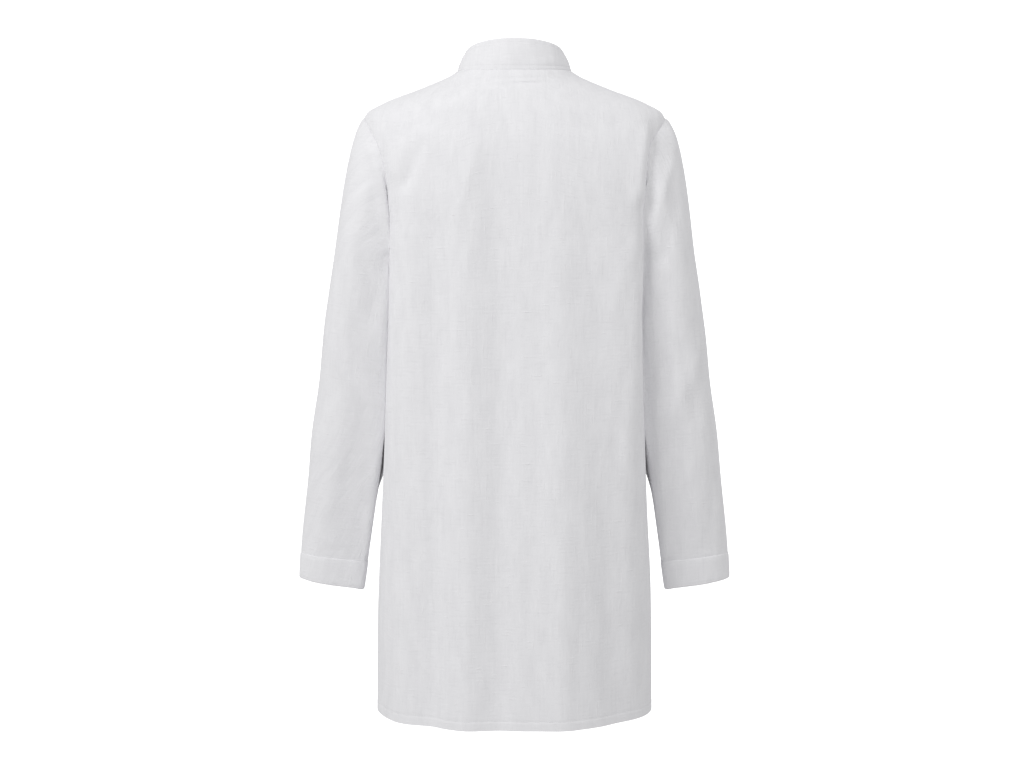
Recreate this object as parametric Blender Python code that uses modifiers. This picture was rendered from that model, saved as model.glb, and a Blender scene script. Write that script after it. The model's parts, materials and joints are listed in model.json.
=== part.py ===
"""Long-sleeved white linen shirt with a stand collar, filled out as if worn.

Units are metres, +Z is up and the front of the shirt faces -Y, so the wearer's
left is +X.  The origin is the middle of the neck opening, level with the points
where the shoulder seams meet the collar.

The body is one surface.  A level runs up it from the hem (0) to the neckline
and an angle runs round it: 0 at the wearer's left side, 90 degrees at the
centre back, 180 at the right side and 270 at the centre front.  Every panel is
a patch of that surface, given a wall of cloth on its inner side.
"""
import math
from collections import namedtuple

import bmesh
import bpy
from mathutils import Vector

# Cloth
CLOTH = 0.0015
CUFF_CLOTH = 0.0022
COLLAR_CLOTH = 0.0020
SEAM_GAP = 0.0003
SLEEVE_CLEARANCE = 0.0022

# How finely each piece is divided
LOWER_ROWS = 13
ARMHOLE_ROWS = 12
SHOULDER_ROWS = 8
BACK_COLUMNS = 28
FRONT_COLUMNS = 12
CAP_RINGS = 7
ARM_RINGS = 13

# One row for each level of the body, from the hem to the neckline.  The height
# is measured at the side seam or shoulder seam, and each drop is how much lower
# the same level lies at the centre back and at the centre front.
Section = namedtuple(
    "Section", "height half_width back front roundness back_drop front_drop")
BODY = [
    Section(-0.864, 0.1860, 0.130, 0.122, 2.35, 0.008, 0.006),
    Section(-0.720, 0.1853, 0.123, 0.118, 2.45, 0.006, 0.004),
    Section(-0.570, 0.1785, 0.115, 0.112, 2.90, 0.003, 0.002),
    Section(-0.400, 0.1720, 0.108, 0.110, 3.80, 0.000, 0.000),
    Section(-0.235, 0.1690, 0.107, 0.118, 4.40, 0.000, 0.000),
    Section(-0.170, 0.1765, 0.107, 0.115, 4.00, 0.002, 0.005),
    Section(-0.110, 0.1945, 0.104, 0.109, 3.00, 0.010, 0.020),
    Section(-0.064, 0.2045, 0.099, 0.103, 2.20, 0.024, 0.044),
    Section(-0.0436, 0.1790, 0.093, 0.098, 2.08, 0.0205, 0.049),
    Section(-0.0243, 0.1300, 0.084, 0.091, 2.00, 0.0175, 0.0550),
    Section(-0.0088, 0.0930, 0.073, 0.083, 2.00, 0.0140, 0.0620),
    Section(0.0000, 0.0780, 0.065, 0.078, 2.10, 0.009, 0.062),
]
DROP_POWER = 1.35
UNDERARM_LEVEL = 4.0
SHOULDER_LEVEL = 7.0
NECK_LEVEL = float(len(BODY) - 1)
ARMHOLE_BACK = math.radians(30)
ARMHOLE_FRONT = math.radians(33)

# A fold is a soft ridge, or a trough where its depths are below zero, which
# runs from a low point to a high one.  Across is measured from the centre line
# on the body, and round the arm from its outer side on a sleeve.  A fold runs
# on past both points by a part of its length and fades out there, and the folds
# of the body fade towards its sides.
FOLD_OVERRUN = 0.25
FOLD_LOW_FADE = 0.35
FOLD_HIGH_FADE = 0.50
FOLD_SIDE_FADE = 0.055
Fold = namedtuple("Fold", "low across_low high across_high width depth_low depth_high")
BACK_FOLDS = [
    Fold(-0.90, 0.149, -0.20, 0.138, 0.019, 0.0060, 0.0020),
    Fold(-0.90, 0.111, -0.16, 0.104, 0.017, -0.0058, -0.0018),
    Fold(-0.90, 0.064, -0.09, 0.058, 0.024, 0.0062, 0.0020),
    Fold(-0.90, 0.014, -0.11, 0.010, 0.021, -0.0056, -0.0016),
    Fold(-0.90, -0.056, -0.09, -0.052, 0.024, 0.0066, 0.0022),
    Fold(-0.90, -0.108, -0.13, -0.098, 0.019, -0.0066, -0.0022),
    Fold(-0.90, -0.155, -0.13, -0.160, 0.018, 0.0060, 0.0050),
]
FRONT_FOLDS = [
    Fold(-0.90, 0.150, -0.26, 0.132, 0.018, 0.0056, 0.0018),
    Fold(-0.90, 0.112, -0.22, 0.096, 0.018, -0.0058, -0.0016),
    Fold(-0.90, 0.068, -0.18, 0.062, 0.020, 0.0060, 0.0012),
    Fold(-0.90, -0.064, -0.18, -0.058, 0.020, 0.0060, 0.0012),
    Fold(-0.90, -0.108, -0.22, -0.094, 0.018, -0.0056, -0.0016),
    Fold(-0.90, -0.149, -0.26, -0.134, 0.018, 0.0054, 0.0018),
]
SLEEVE_FOLDS = {
    1: [
        Fold(-0.250, 0.122, -0.135, 0.050, 0.013, 0.0030, 0.0020),
        Fold(-0.460, 0.105, -0.330, 0.020, 0.016, 0.0030, 0.0010),
        Fold(-0.440, -0.105, -0.350, -0.030, 0.015, 0.0028, 0.0012),
        Fold(-0.650, 0.030, -0.520, 0.045, 0.011, -0.0024, -0.0010),
    ],
    -1: [
        Fold(-0.240, 0.118, -0.125, 0.055, 0.012, 0.0034, 0.0024),
        Fold(-0.480, 0.100, -0.350, 0.025, 0.016, 0.0028, 0.0010),
        Fold(-0.430, -0.100, -0.340, -0.035, 0.015, 0.0028, 0.0012),
        Fold(-0.650, 0.050, -0.530, 0.040, 0.011, -0.0022, -0.0010),
    ],
}

# One row for each section across the arm, from just below the underarm down to
# the end of the sleeve.  A section is level with its outer side tilted up.
ArmSection = namedtuple("ArmSection", "height centre forward half_width half_depth tilt")
ARM = [
    ArmSection(-0.262, 0.2090, 0.004, 0.0370, 0.068, 12.0),
    ArmSection(-0.310, 0.2122, 0.006, 0.0410, 0.064, 6.0),
    ArmSection(-0.370, 0.2160, 0.010, 0.0455, 0.060, 5.0),
    ArmSection(-0.430, 0.2192, 0.014, 0.0485, 0.056, 5.0),
    ArmSection(-0.500, 0.2293, 0.019, 0.0490, 0.051, 6.0),
    ArmSection(-0.570, 0.2376, 0.025, 0.0475, 0.045, 6.5),
    ArmSection(-0.630, 0.2454, 0.031, 0.0462, 0.041, 6.5),
    ArmSection(-0.664, 0.2492, 0.034, 0.0452, 0.039, 6.5),
]
ARM_ROUNDNESS = 2.2

# The sleeve's head runs on a smooth curve from the armhole to the first of these
# sections.  A slope is its direction out and down at the shoulder or under the
# arm.  The leave and arrive values are the weights of its directions at the
# armhole and at the arm.
CAP_SLOPE = Vector((0.75, -0.66))
UNDER_SLOPE = Vector((0.55, -0.85))
ROUND_SLOPE = 0.30
CAP_LEAVE = 0.45
CAP_ARRIVE = 0.60
UNDER_LEAVE = 1.0
UNDER_ARRIVE = 0.9
UNDER_GAP = 0.00045
ARM_LEVEL_STEP = 0.3

# Cuffs.  The slant makes a cuff deeper on its inner side than on its outer side.
CUFF_HEIGHT = 0.0345
CUFF_SLANT = 0.07
CUFF_PROUD = 0.0004
CUFF_TAPER = 0.97

# Collar.  The lap is where its right end moves out to pass over its left end.
COLLAR_SIDE = 0.0655
COLLAR_BACK = 0.0585
COLLAR_FRONT = 0.0730
COLLAR_TOP_SIDE = 0.0273
COLLAR_TOP_BACK = 0.0345
COLLAR_TOP_FRONT = -0.0250
COLLAR_ROWS = 4
COLLAR_FRONT_COLUMNS = 17
COLLAR_SEAM_GAP = 0.0005
COLLAR_CORNER = 0.012
COLLAR_BOW = 0.0015
COLLAR_OVERLAP_GAP = 0.0009
LAP_STARTS_BEFORE_CENTRE = 0.75
LAP_LENGTH = 0.50

# Front opening: the fronts meet a little to the right of the centre, under a band
PLACKET_HALF = 0.016
FRONT_EDGE = -0.011
PLACKET_CLOTH = 0.0013
PLACKET_COLUMNS = 4
PLACKET_BELOW_COLLAR = 0.3

# Buttons
BUTTON_RADIUS = 0.0055
BUTTON_THICKNESS = 0.0024
BUTTON_RIM = 0.0006
BUTTON_DISH_RADIUS = 0.0036
BUTTON_DISH = 0.0005
BUTTON_STEPS = 12
BUTTON_COUNT = 8
BUTTON_TOP = -0.108
BUTTON_SPACING = 0.088

# Colours
WHITE_LINEN = (0.83, 0.835, 0.845)
SLEEVE_WHITE = (0.82, 0.825, 0.835)
BAND_WHITE = (0.85, 0.855, 0.86)
SHELL_WHITE = (0.84, 0.83, 0.80)
LINEN_ROUGHNESS = 0.9
BAND_ROUGHNESS = 0.85
SHELL_ROUGHNESS = 0.3

# Geometry helpers
STEP = 0.001
HALVINGS = 30
SMOOTH_ANGLE = math.radians(40)
MERGE_DISTANCE = 0.00001
HALF_TURN = math.pi
CENTRE_FRONT = 1.5 * math.pi


def clear_scene():
    """Remove whatever the new file holds."""
    for thing in list(bpy.data.objects):
        bpy.data.objects.remove(thing, do_unlink=True)


def mix(a, b, t):
    return a + (b - a) * t


def smooth(t):
    t = min(1.0, max(0.0, t))
    return t * t * (3.0 - 2.0 * t)


def signed_power(value, power):
    return math.copysign(abs(value) ** power, value)


def table_at(table, level):
    """Read a table of sections at any level, on a smooth curve through its rows."""
    last = len(table) - 1
    level = min(float(last), max(0.0, level))
    i = min(int(level), last - 1)
    t = level - i
    before = table[max(i - 1, 0)]
    low = table[i]
    high = table[i + 1]
    after = table[min(i + 2, last)]
    values = []
    for p, a, b, q in zip(before, low, high, after):
        leave = 0.5 * (b - p)
        arrive = 0.5 * (q - a)
        t2 = t * t
        t3 = t2 * t
        values.append((2 * t3 - 3 * t2 + 1) * a + (t3 - 2 * t2 + t) * leave
                      + (3 * t2 - 2 * t3) * b + (t3 - t2) * arrive)
    return type(low)(*values)


def fold_push(folds, across, height):
    """How far the folds push the cloth out at one place."""
    push = 0.0
    for fold in folds:
        t = (height - fold.low) / (fold.high - fold.low)
        if t < -FOLD_OVERRUN or t > 1.0 + FOLD_OVERRUN:
            continue
        inside = (smooth((t + FOLD_OVERRUN) / FOLD_LOW_FADE)
                  * smooth((1.0 + FOLD_OVERRUN - t) / FOLD_HIGH_FADE))
        t = min(1.0, max(0.0, t))
        offset = (across - mix(fold.across_low, fold.across_high, t)) / fold.width
        push += mix(fold.depth_low, fold.depth_high, t) * inside * math.exp(-offset * offset)
    return push


def body_point(level, angle):
    """A point of the body's outer surface."""
    section = table_at(BODY, level)
    cosine = math.cos(angle)
    sine = math.sin(angle)
    behind = sine >= 0.0
    depth = section.back if behind else section.front
    drop = section.back_drop if behind else section.front_drop
    power = 2.0 / section.roundness
    x = section.half_width * signed_power(cosine, power)
    y = depth * signed_power(sine, power)
    z = section.height - drop * abs(sine) ** DROP_POWER
    out = Vector((signed_power(cosine, 2.0 - power) / section.half_width,
                  signed_power(sine, 2.0 - power) / depth, 0.0)).normalized()
    folds = BACK_FOLDS if behind else FRONT_FOLDS
    push = fold_push(folds, x, z) * smooth(abs(y) / FOLD_SIDE_FADE)
    return Vector((x, y, z)) + out * push


def body_frame(level, angle):
    """A point of the body, the way round it, and the way out of it."""
    point = body_point(level, angle)
    around = body_point(level, angle + STEP) - body_point(level, angle - STEP)
    upward = (body_point(min(NECK_LEVEL, level + STEP), angle)
              - body_point(max(0.0, level - STEP), angle))
    outward = around.cross(upward).normalized()
    return point, around.normalized(), outward


def angle_at_front(level, across):
    """The angle at which the front of a level is this far left of the centre."""
    section = table_at(BODY, level)
    part = signed_power(across / section.half_width, section.roundness / 2.0)
    return CENTRE_FRONT + math.asin(part)


def direction_of(angle, power):
    """The direction in which a section's point at this angle lies.

    With one over the power it turns a direction back into an angle.
    """
    turned = math.atan2(signed_power(math.sin(angle), power),
                        signed_power(math.cos(angle), power))
    return turned + 2.0 * HALF_TURN * round((angle - turned) / (2.0 * HALF_TURN))


def armhole_levels():
    """Levels of the rows between underarm and shoulder, closer at both ends."""
    levels = []
    for i in range(ARMHOLE_ROWS + 1):
        part = 0.5 * (1.0 - math.cos(math.pi * i / ARMHOLE_ROWS))
        levels.append(mix(UNDERARM_LEVEL, SHOULDER_LEVEL, part))
    return levels


def body_levels():
    """Levels of all the rows of a panel, from hem to neckline."""
    levels = [UNDERARM_LEVEL * i / LOWER_ROWS for i in range(LOWER_ROWS)]
    levels += armhole_levels()
    step = (NECK_LEVEL - SHOULDER_LEVEL) / SHOULDER_ROWS
    levels += [SHOULDER_LEVEL + step * (i + 1) for i in range(SHOULDER_ROWS)]
    return levels


def armhole_angle(level, widest):
    """How far round the body the armhole reaches at a level, from the side.

    The widest place is given as a direction.
    """
    if level <= UNDERARM_LEVEL or level >= SHOULDER_LEVEL:
        return 0.0
    part = (level - UNDERARM_LEVEL) / (SHOULDER_LEVEL - UNDERARM_LEVEL)
    direction = widest * math.sqrt(math.sin(math.pi * part))
    return direction_of(direction, 0.5 * table_at(BODY, level).roundness)


def make_wall(name, outer, inner, closed, material, collection):
    """Join an outer and an inner grid of points into one closed wall of cloth."""
    shape = bmesh.new()
    outside = [[shape.verts.new(point) for point in row] for row in outer]
    inside = [[shape.verts.new(point) for point in row] for row in inner]
    rows = len(outside)
    columns = len(outside[0])
    spans = columns if closed else columns - 1
    for i in range(rows - 1):
        for j in range(spans):
            k = (j + 1) % columns
            shape.faces.new((outside[i][j], outside[i][k], outside[i + 1][k], outside[i + 1][j]))
            shape.faces.new((inside[i][j], inside[i + 1][j], inside[i + 1][k], inside[i][k]))
    for i in (0, rows - 1):
        for j in range(spans):
            k = (j + 1) % columns
            shape.faces.new((outside[i][j], inside[i][j], inside[i][k], outside[i][k]))
    if not closed:
        for j in (0, columns - 1):
            for i in range(rows - 1):
                shape.faces.new((outside[i][j], outside[i + 1][j], inside[i + 1][j], inside[i][j]))
    bmesh.ops.recalc_face_normals(shape, faces=shape.faces[:])
    mesh = bpy.data.meshes.new(name)
    shape.to_mesh(mesh)
    shape.free()
    mesh.shade_smooth()
    mesh.set_sharp_from_angle(angle=SMOOTH_ANGLE)
    mesh.materials.append(material)
    piece = bpy.data.objects.new(name, mesh)
    collection.objects.link(piece)
    return piece


def panel_grid(first_angle, last_angle, columns):
    """Outer and inner points of a body panel between two edges.

    The edges are functions of the level, and each keeps half of a seam's gap
    to the next panel.  The columns are spaced evenly by direction.
    """
    outer = []
    inner = []
    for level in body_levels():
        power = 2.0 / table_at(BODY, level).roundness
        start = direction_of(first_angle(level), power)
        end = direction_of(last_angle(level), power)
        outer_row = []
        inner_row = []
        for j in range(columns + 1):
            angle = direction_of(mix(start, end, j / columns), 1.0 / power)
            point, around, outward = body_frame(level, angle)
            if j == 0:
                point = point + around * (SEAM_GAP / 2)
            if j == columns:
                point = point - around * (SEAM_GAP / 2)
            outer_row.append(point)
            inner_row.append(point - outward * CLOTH)
        outer.append(outer_row)
        inner.append(inner_row)
    return outer, inner


def make_back(material, collection):
    """Back, cut in one piece from the hem to the shoulder seams."""
    outer, inner = panel_grid(
        lambda level: armhole_angle(level, ARMHOLE_BACK),
        lambda level: HALF_TURN - armhole_angle(level, ARMHOLE_BACK),
        BACK_COLUMNS)
    return make_wall("back", outer, inner, False, material, collection)


def make_fronts(material, collection):
    """The two fronts, whose inner edges lie under the placket."""
    outer, inner = panel_grid(
        lambda level: HALF_TURN + armhole_angle(level, ARMHOLE_FRONT),
        lambda level: angle_at_front(level, FRONT_EDGE),
        FRONT_COLUMNS)
    make_wall("front_right", outer, inner, False, material, collection)
    outer, inner = panel_grid(
        lambda level: angle_at_front(level, FRONT_EDGE),
        lambda level: 2.0 * HALF_TURN - armhole_angle(level, ARMHOLE_FRONT),
        FRONT_COLUMNS + 1)
    make_wall("front_left", outer, inner, False, material, collection)


def make_placket(material, collection):
    """Band down the front opening, made from the fronts' points moved out."""
    outer = []
    inner = []
    levels = body_levels()
    levels[-1] -= PLACKET_BELOW_COLLAR
    for level in levels:
        outer_row = []
        inner_row = []
        for j in range(PLACKET_COLUMNS + 1):
            across = mix(-PLACKET_HALF, PLACKET_HALF, j / PLACKET_COLUMNS)
            point, _, outward = body_frame(level, angle_at_front(level, across))
            inner_row.append(point + outward * SEAM_GAP)
            outer_row.append(point + outward * (SEAM_GAP + PLACKET_CLOTH))
        outer.append(outer_row)
        inner.append(inner_row)
    return make_wall("placket", outer, inner, False, material, collection)


def body_side_limit(y, z):
    """How far out the body's side reaches at a place beside it, below the underarm."""
    low = 0.0
    high = UNDERARM_LEVEL
    for _ in range(HALVINGS):
        middle = 0.5 * (low + high)
        if table_at(BODY, middle).height < z:
            low = middle
        else:
            high = middle
    section = table_at(BODY, low)
    depth = section.back if y > 0.0 else section.front
    ratio = min(1.0, abs(y) / depth)
    return section.half_width * (1.0 - ratio ** section.roundness) ** (1.0 / section.roundness)


def arm_point(level, angle, side, grow=0.0):
    """A point of a sleeve below the underarm.  The angle is 0 on the outer side."""
    section = table_at(ARM, level)
    power = 2.0 / ARM_ROUNDNESS
    across = (section.half_width + grow) * signed_power(math.cos(angle), power)
    behind = (section.half_depth + grow) * signed_power(math.sin(angle), power)
    tilt = math.radians(section.tilt)
    x = section.centre + across * math.cos(tilt)
    y = behind - section.forward
    z = section.height + across * math.sin(tilt)
    round_the_arm = angle if angle <= math.pi else angle - 2.0 * math.pi
    radius = 0.5 * (section.half_width + section.half_depth)
    push = fold_push(SLEEVE_FOLDS[side], round_the_arm * radius, z)
    x += push * math.cos(angle)
    y += push * math.sin(angle)
    x = max(x, body_side_limit(y, z) + SLEEVE_CLEARANCE)
    return Vector((side * x, y, z))


def armhole_ring(side):
    """Points of the armhole on the body, from the shoulder over the back and round."""
    levels = armhole_levels()
    places = [(level, 1.0) for level in reversed(levels)]
    places += [(level, -1.0) for level in levels[1:-1]]
    ring = []
    for level, facing in places:
        widest = ARMHOLE_BACK if facing > 0 else ARMHOLE_FRONT
        angle = facing * armhole_angle(level, widest)
        if side < 0:
            angle = HALF_TURN - angle
        ring.append(body_frame(level, angle))
    return ring


def sleeve_angles():
    """Angle round the arm that belongs to each point of the armhole."""
    columns = 2 * ARMHOLE_ROWS
    return [2.0 * math.pi * j / columns for j in range(columns)]


def curve_between(start, end, leave, arrive, t):
    """A point on a smooth curve with given directions at both ends."""
    t2 = t * t
    t3 = t2 * t
    return (start * (2 * t3 - 3 * t2 + 1) + leave * (t3 - 2 * t2 + t)
            + end * (3 * t2 - 2 * t3) + arrive * (t3 - t2))


def sleeve_rings(side):
    """Outer rings of a sleeve, from the armhole to the cuff seam."""
    armhole = armhole_ring(side)
    angles = sleeve_angles()
    rings = []
    for i in range(CAP_RINGS):
        t = i / CAP_RINGS
        ring = []
        for (point, _, outward), angle in zip(armhole, angles):
            top = 0.5 * (1.0 + math.cos(angle))
            slope = UNDER_SLOPE.lerp(CAP_SLOPE, top)
            leave = Vector((side * slope.x, ROUND_SLOPE * math.sin(angle), slope.y)).normalized()
            start = point + leave * SEAM_GAP + outward * (UNDER_GAP * (1.0 - top))
            end = arm_point(0.0, angle, side)
            down = (arm_point(ARM_LEVEL_STEP, angle, side) - end).normalized()
            reach = (end - start).length
            place = curve_between(start, end, leave * reach * mix(UNDER_LEAVE, CAP_LEAVE, top),
                                  down * reach * mix(UNDER_ARRIVE, CAP_ARRIVE, top), t)
            ring.append(place)
        rings.append(ring)
    last = len(ARM) - 1
    for i in range(ARM_RINGS + 1):
        level = last * i / ARM_RINGS
        rings.append([arm_point(level, angle, side) for angle in angles])
    return rings


def ring_normals(rings, side):
    """Outward directions of a tube, from the neighbours of each point."""
    normals = []
    columns = len(rings[0])
    last = len(rings) - 1
    for i, ring in enumerate(rings):
        row = []
        for j in range(columns):
            around = ring[(j + 1) % columns] - ring[j - 1]
            along = rings[min(i + 1, last)][j] - rings[max(i - 1, 0)][j]
            row.append(along.cross(around).normalized() * side)
        normals.append(row)
    return normals


def wall_of_rings(name, rings, side, thickness, material, collection):
    """A tube of cloth whose outer side follows the rings."""
    normals = ring_normals(rings, side)
    inner = [[point - normal * thickness for point, normal in zip(ring, row)]
             for ring, row in zip(rings, normals)]
    return make_wall(name, rings, inner, True, material, collection)


def make_sleeve(side, name, material, collection):
    """Sleeve, from the armhole seam to the cuff seam."""
    return wall_of_rings(name, sleeve_rings(side), side, CLOTH, material, collection)


def make_cuff(side, name, material, collection):
    """Plain band that closes the sleeve's end."""
    last = len(ARM) - 1
    angles = sleeve_angles()
    section = ARM[-1]
    above = ARM[-2]
    axis = Vector((side * (section.centre - above.centre),
                   above.forward - section.forward,
                   section.height - above.height)).normalized()
    base = [arm_point(last, angle, side, CUFF_PROUD) for angle in angles]
    middle = sum(base, Vector((0.0, 0.0, 0.0))) / len(base)
    rings = []
    for along in (SEAM_GAP, CUFF_HEIGHT / 2, CUFF_HEIGHT):
        taper = mix(1.0, CUFF_TAPER, along / CUFF_HEIGHT)
        rings.append([middle + (point - middle) * taper
                      + axis * (along * (1.0 - CUFF_SLANT * math.cos(angle)))
                      for point, angle in zip(base, angles)])
    return wall_of_rings(name, rings, side, CUFF_CLOTH, material, collection)


def collar_top(angle):
    """A point of the collar's upper edge."""
    sine = math.sin(angle)
    behind = sine >= 0.0
    power = 2.0 / BODY[-1].roundness
    depth = COLLAR_BACK if behind else COLLAR_FRONT
    end_height = COLLAR_TOP_BACK if behind else COLLAR_TOP_FRONT
    return Vector((COLLAR_SIDE * signed_power(math.cos(angle), power),
                   depth * signed_power(sine, power),
                   mix(COLLAR_TOP_SIDE, end_height, abs(sine) ** DROP_POWER)))


def collar_end_angle(half_width, across):
    """How far past the centre front an edge of the collar lies, as an angle."""
    return math.asin((across / half_width) ** (BODY[-1].roundness / 2.0))


def collar_angles(start, end):
    """Angles of the collar's columns.

    They match the back's columns at the neck and close up towards both ends,
    where the corners are rounded.
    """
    angles = []
    for i in range(COLLAR_FRONT_COLUMNS):
        part = i / COLLAR_FRONT_COLUMNS
        angles.append(start * (1.0 - 0.5 * (part + part * part)))
    angles += [HALF_TURN * i / BACK_COLUMNS for i in range(BACK_COLUMNS)]
    for i in range(COLLAR_FRONT_COLUMNS + 1):
        part = 1.0 - i / COLLAR_FRONT_COLUMNS
        angles.append(mix(end, HALF_TURN, 0.5 * (part + part * part)))
    return angles


def make_collar(material, collection):
    """Stand collar: a band whose right end laps over the left at the front."""
    outer = []
    inner = []
    lap = COLLAR_CLOTH + COLLAR_OVERLAP_GAP
    for i in range(COLLAR_ROWS + 1):
        rise = i / COLLAR_ROWS
        half_width = mix(BODY[-1].half_width, COLLAR_SIDE, rise)
        past = collar_end_angle(half_width, PLACKET_HALF)
        start = CENTRE_FRONT - 2.0 * math.pi - past
        end = CENTRE_FRONT + past
        outer_row = []
        inner_row = []
        for angle in collar_angles(start, end):
            low = body_point(NECK_LEVEL, angle)
            high = collar_top(angle)
            side_on = Vector((math.cos(angle), math.sin(angle), 0.0))
            nearest = min(angle - start, end - angle) * half_width
            short = max(0.0, COLLAR_CORNER - nearest)
            cut = COLLAR_CORNER - math.sqrt(COLLAR_CORNER ** 2 - short ** 2)
            full = (high - low).length
            height = COLLAR_SEAM_GAP + (full - cut - COLLAR_SEAM_GAP) * rise
            bow = COLLAR_BOW * math.sin(math.pi * height / full)
            past_lap = angle - CENTRE_FRONT + LAP_STARTS_BEFORE_CENTRE
            over = lap * smooth(past_lap / LAP_LENGTH)
            point = low + (high - low) * (height / full) + side_on * (bow + over)
            outer_row.append(point)
            inner_row.append(point - side_on * COLLAR_CLOTH)
        outer.append(outer_row)
        inner.append(inner_row)
    return make_wall("collar", outer, inner, False, material, collection)


def button_profile():
    """Half outline of a button from its middle on top to its middle underneath."""
    top = BUTTON_THICKNESS / 2
    return [
        (0.0, top - BUTTON_DISH),
        (BUTTON_DISH_RADIUS, top - BUTTON_DISH),
        (BUTTON_DISH_RADIUS + BUTTON_DISH, top),
        (BUTTON_RADIUS - BUTTON_RIM, top),
        (BUTTON_RADIUS, top - BUTTON_RIM),
        (BUTTON_RADIUS, BUTTON_RIM - top),
        (BUTTON_RADIUS - BUTTON_RIM, -top),
        (0.0, -top),
    ]


def make_button(name, place, outward, material, collection):
    """A turned button, placed by its middle with its face outward."""
    profile = button_profile()
    mesh = bpy.data.meshes.new(name)
    mesh.from_pydata([(radius, 0.0, height) for radius, height in profile],
                     [(i, i + 1) for i in range(len(profile) - 1)], [])
    mesh.materials.append(material)
    button = bpy.data.objects.new(name, mesh)
    collection.objects.link(button)
    turn = button.modifiers.new("turn", 'SCREW')
    turn.steps = BUTTON_STEPS
    turn.render_steps = BUTTON_STEPS
    turn.use_merge_vertices = True
    turn.merge_threshold = MERGE_DISTANCE
    turn.use_smooth_shade = True
    button.location = place
    button.rotation_euler = outward.to_track_quat('Z', 'Y').to_euler()
    return button


def level_at_front(height):
    """The level whose centre front lies at a height."""
    low = 0.0
    high = NECK_LEVEL
    for _ in range(HALVINGS):
        middle = 0.5 * (low + high)
        if body_point(middle, CENTRE_FRONT).z < height:
            low = middle
        else:
            high = middle
    return low


def make_buttons(material, collection):
    """Buttons down the placket and one on the collar."""
    lift = SEAM_GAP + PLACKET_CLOTH + SEAM_GAP + BUTTON_THICKNESS / 2
    for i in range(BUTTON_COUNT):
        level = level_at_front(BUTTON_TOP - BUTTON_SPACING * i)
        point, _, outward = body_frame(level, CENTRE_FRONT)
        make_button("button_%d" % (i + 1), point + outward * lift, outward,
                    material, collection)
    low = body_point(NECK_LEVEL, CENTRE_FRONT)
    high = collar_top(CENTRE_FRONT)
    face = Vector((0.0, -1.0, 0.0))
    lap = COLLAR_CLOTH + COLLAR_OVERLAP_GAP
    slope = (high - low).normalized()
    outward = Vector((0.0, -slope.z, slope.y)).normalized()
    place = ((low + high) / 2 + face * (lap + COLLAR_BOW)
             + outward * (SEAM_GAP + BUTTON_THICKNESS / 2))
    make_button("button_collar", place, outward, material, collection)


def make_material(name, colour, roughness, metallic=0.0):
    material = bpy.data.materials.new(name)
    material.use_nodes = True
    shader = material.node_tree.nodes["Principled BSDF"]
    shader.inputs["Base Color"].default_value = (*colour, 1.0)
    shader.inputs["Roughness"].default_value = roughness
    shader.inputs["Metallic"].default_value = metallic
    material.diffuse_color = (*colour, 1.0)
    return material


def main():
    clear_scene()
    shirt = bpy.data.collections.new("linen_shirt")
    bpy.context.scene.collection.children.link(shirt)

    body_linen = make_material("white_linen", WHITE_LINEN, LINEN_ROUGHNESS)
    front_linen = make_material("white_linen_front", WHITE_LINEN, LINEN_ROUGHNESS)
    sleeve_linen = make_material("white_linen_sleeve", SLEEVE_WHITE, LINEN_ROUGHNESS)
    band_linen = make_material("white_linen_band", BAND_WHITE, BAND_ROUGHNESS)
    shell = make_material("pearl_shell", SHELL_WHITE, SHELL_ROUGHNESS)

    make_back(body_linen, shirt)
    make_fronts(front_linen, shirt)
    make_placket(band_linen, shirt)
    make_collar(band_linen, shirt)
    for side, word in ((1, "left"), (-1, "right")):
        make_sleeve(side, "sleeve_" + word, sleeve_linen, shirt)
        make_cuff(side, "cuff_" + word, band_linen, shirt)
    make_buttons(shell, shirt)


main()
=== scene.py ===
# %% [markdown]
# A white linen tunic shirt, filled out as if somebody wore it
#
# The real shirt is cut from one plain cloth: a back, two fronts, two sleeves, and bands for the
# collar, the cuffs and the front opening.  The frame holds each of these as a plain solid at its
# real size.  This lesson dresses every solid with a fine, thin cloth, sews the edges, and gives
# the linen its weave.  All lengths are metres, +Z is up, and the front of the shirt faces -Y.

# %% Load the frame
import json
import math
from collections import namedtuple

import bmesh
import bpy
import numpy as np
from mathutils import Matrix, Vector

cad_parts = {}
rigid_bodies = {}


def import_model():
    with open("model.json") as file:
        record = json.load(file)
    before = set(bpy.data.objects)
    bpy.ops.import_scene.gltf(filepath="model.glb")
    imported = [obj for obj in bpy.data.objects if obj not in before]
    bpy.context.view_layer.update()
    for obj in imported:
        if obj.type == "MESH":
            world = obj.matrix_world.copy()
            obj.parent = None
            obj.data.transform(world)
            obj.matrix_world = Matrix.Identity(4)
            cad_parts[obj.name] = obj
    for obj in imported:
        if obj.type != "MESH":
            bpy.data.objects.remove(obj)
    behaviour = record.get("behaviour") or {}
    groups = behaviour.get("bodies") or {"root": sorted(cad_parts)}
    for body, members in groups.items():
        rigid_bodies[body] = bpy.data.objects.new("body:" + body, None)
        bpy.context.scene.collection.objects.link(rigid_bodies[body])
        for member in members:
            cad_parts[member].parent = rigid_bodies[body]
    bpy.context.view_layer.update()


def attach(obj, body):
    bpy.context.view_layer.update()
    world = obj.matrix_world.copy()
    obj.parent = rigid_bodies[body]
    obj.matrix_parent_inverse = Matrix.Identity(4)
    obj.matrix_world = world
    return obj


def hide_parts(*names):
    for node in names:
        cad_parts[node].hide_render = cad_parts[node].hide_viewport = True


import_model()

# %% [markdown]
# Working by hand
#
# An operator acts on everything that is selected, and loading the frame leaves all its nodes
# selected.  So each step starts by letting go of everything.  A finished piece rides on the
# shirt's one body and stands for its solid.

# %% Helpers for every piece


def let_go():
    """Deselect everything, so that the next operator acts on its own object alone."""
    for thing in bpy.context.view_layer.objects:
        thing.select_set(False)
    bpy.context.view_layer.objects.active = None


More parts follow.
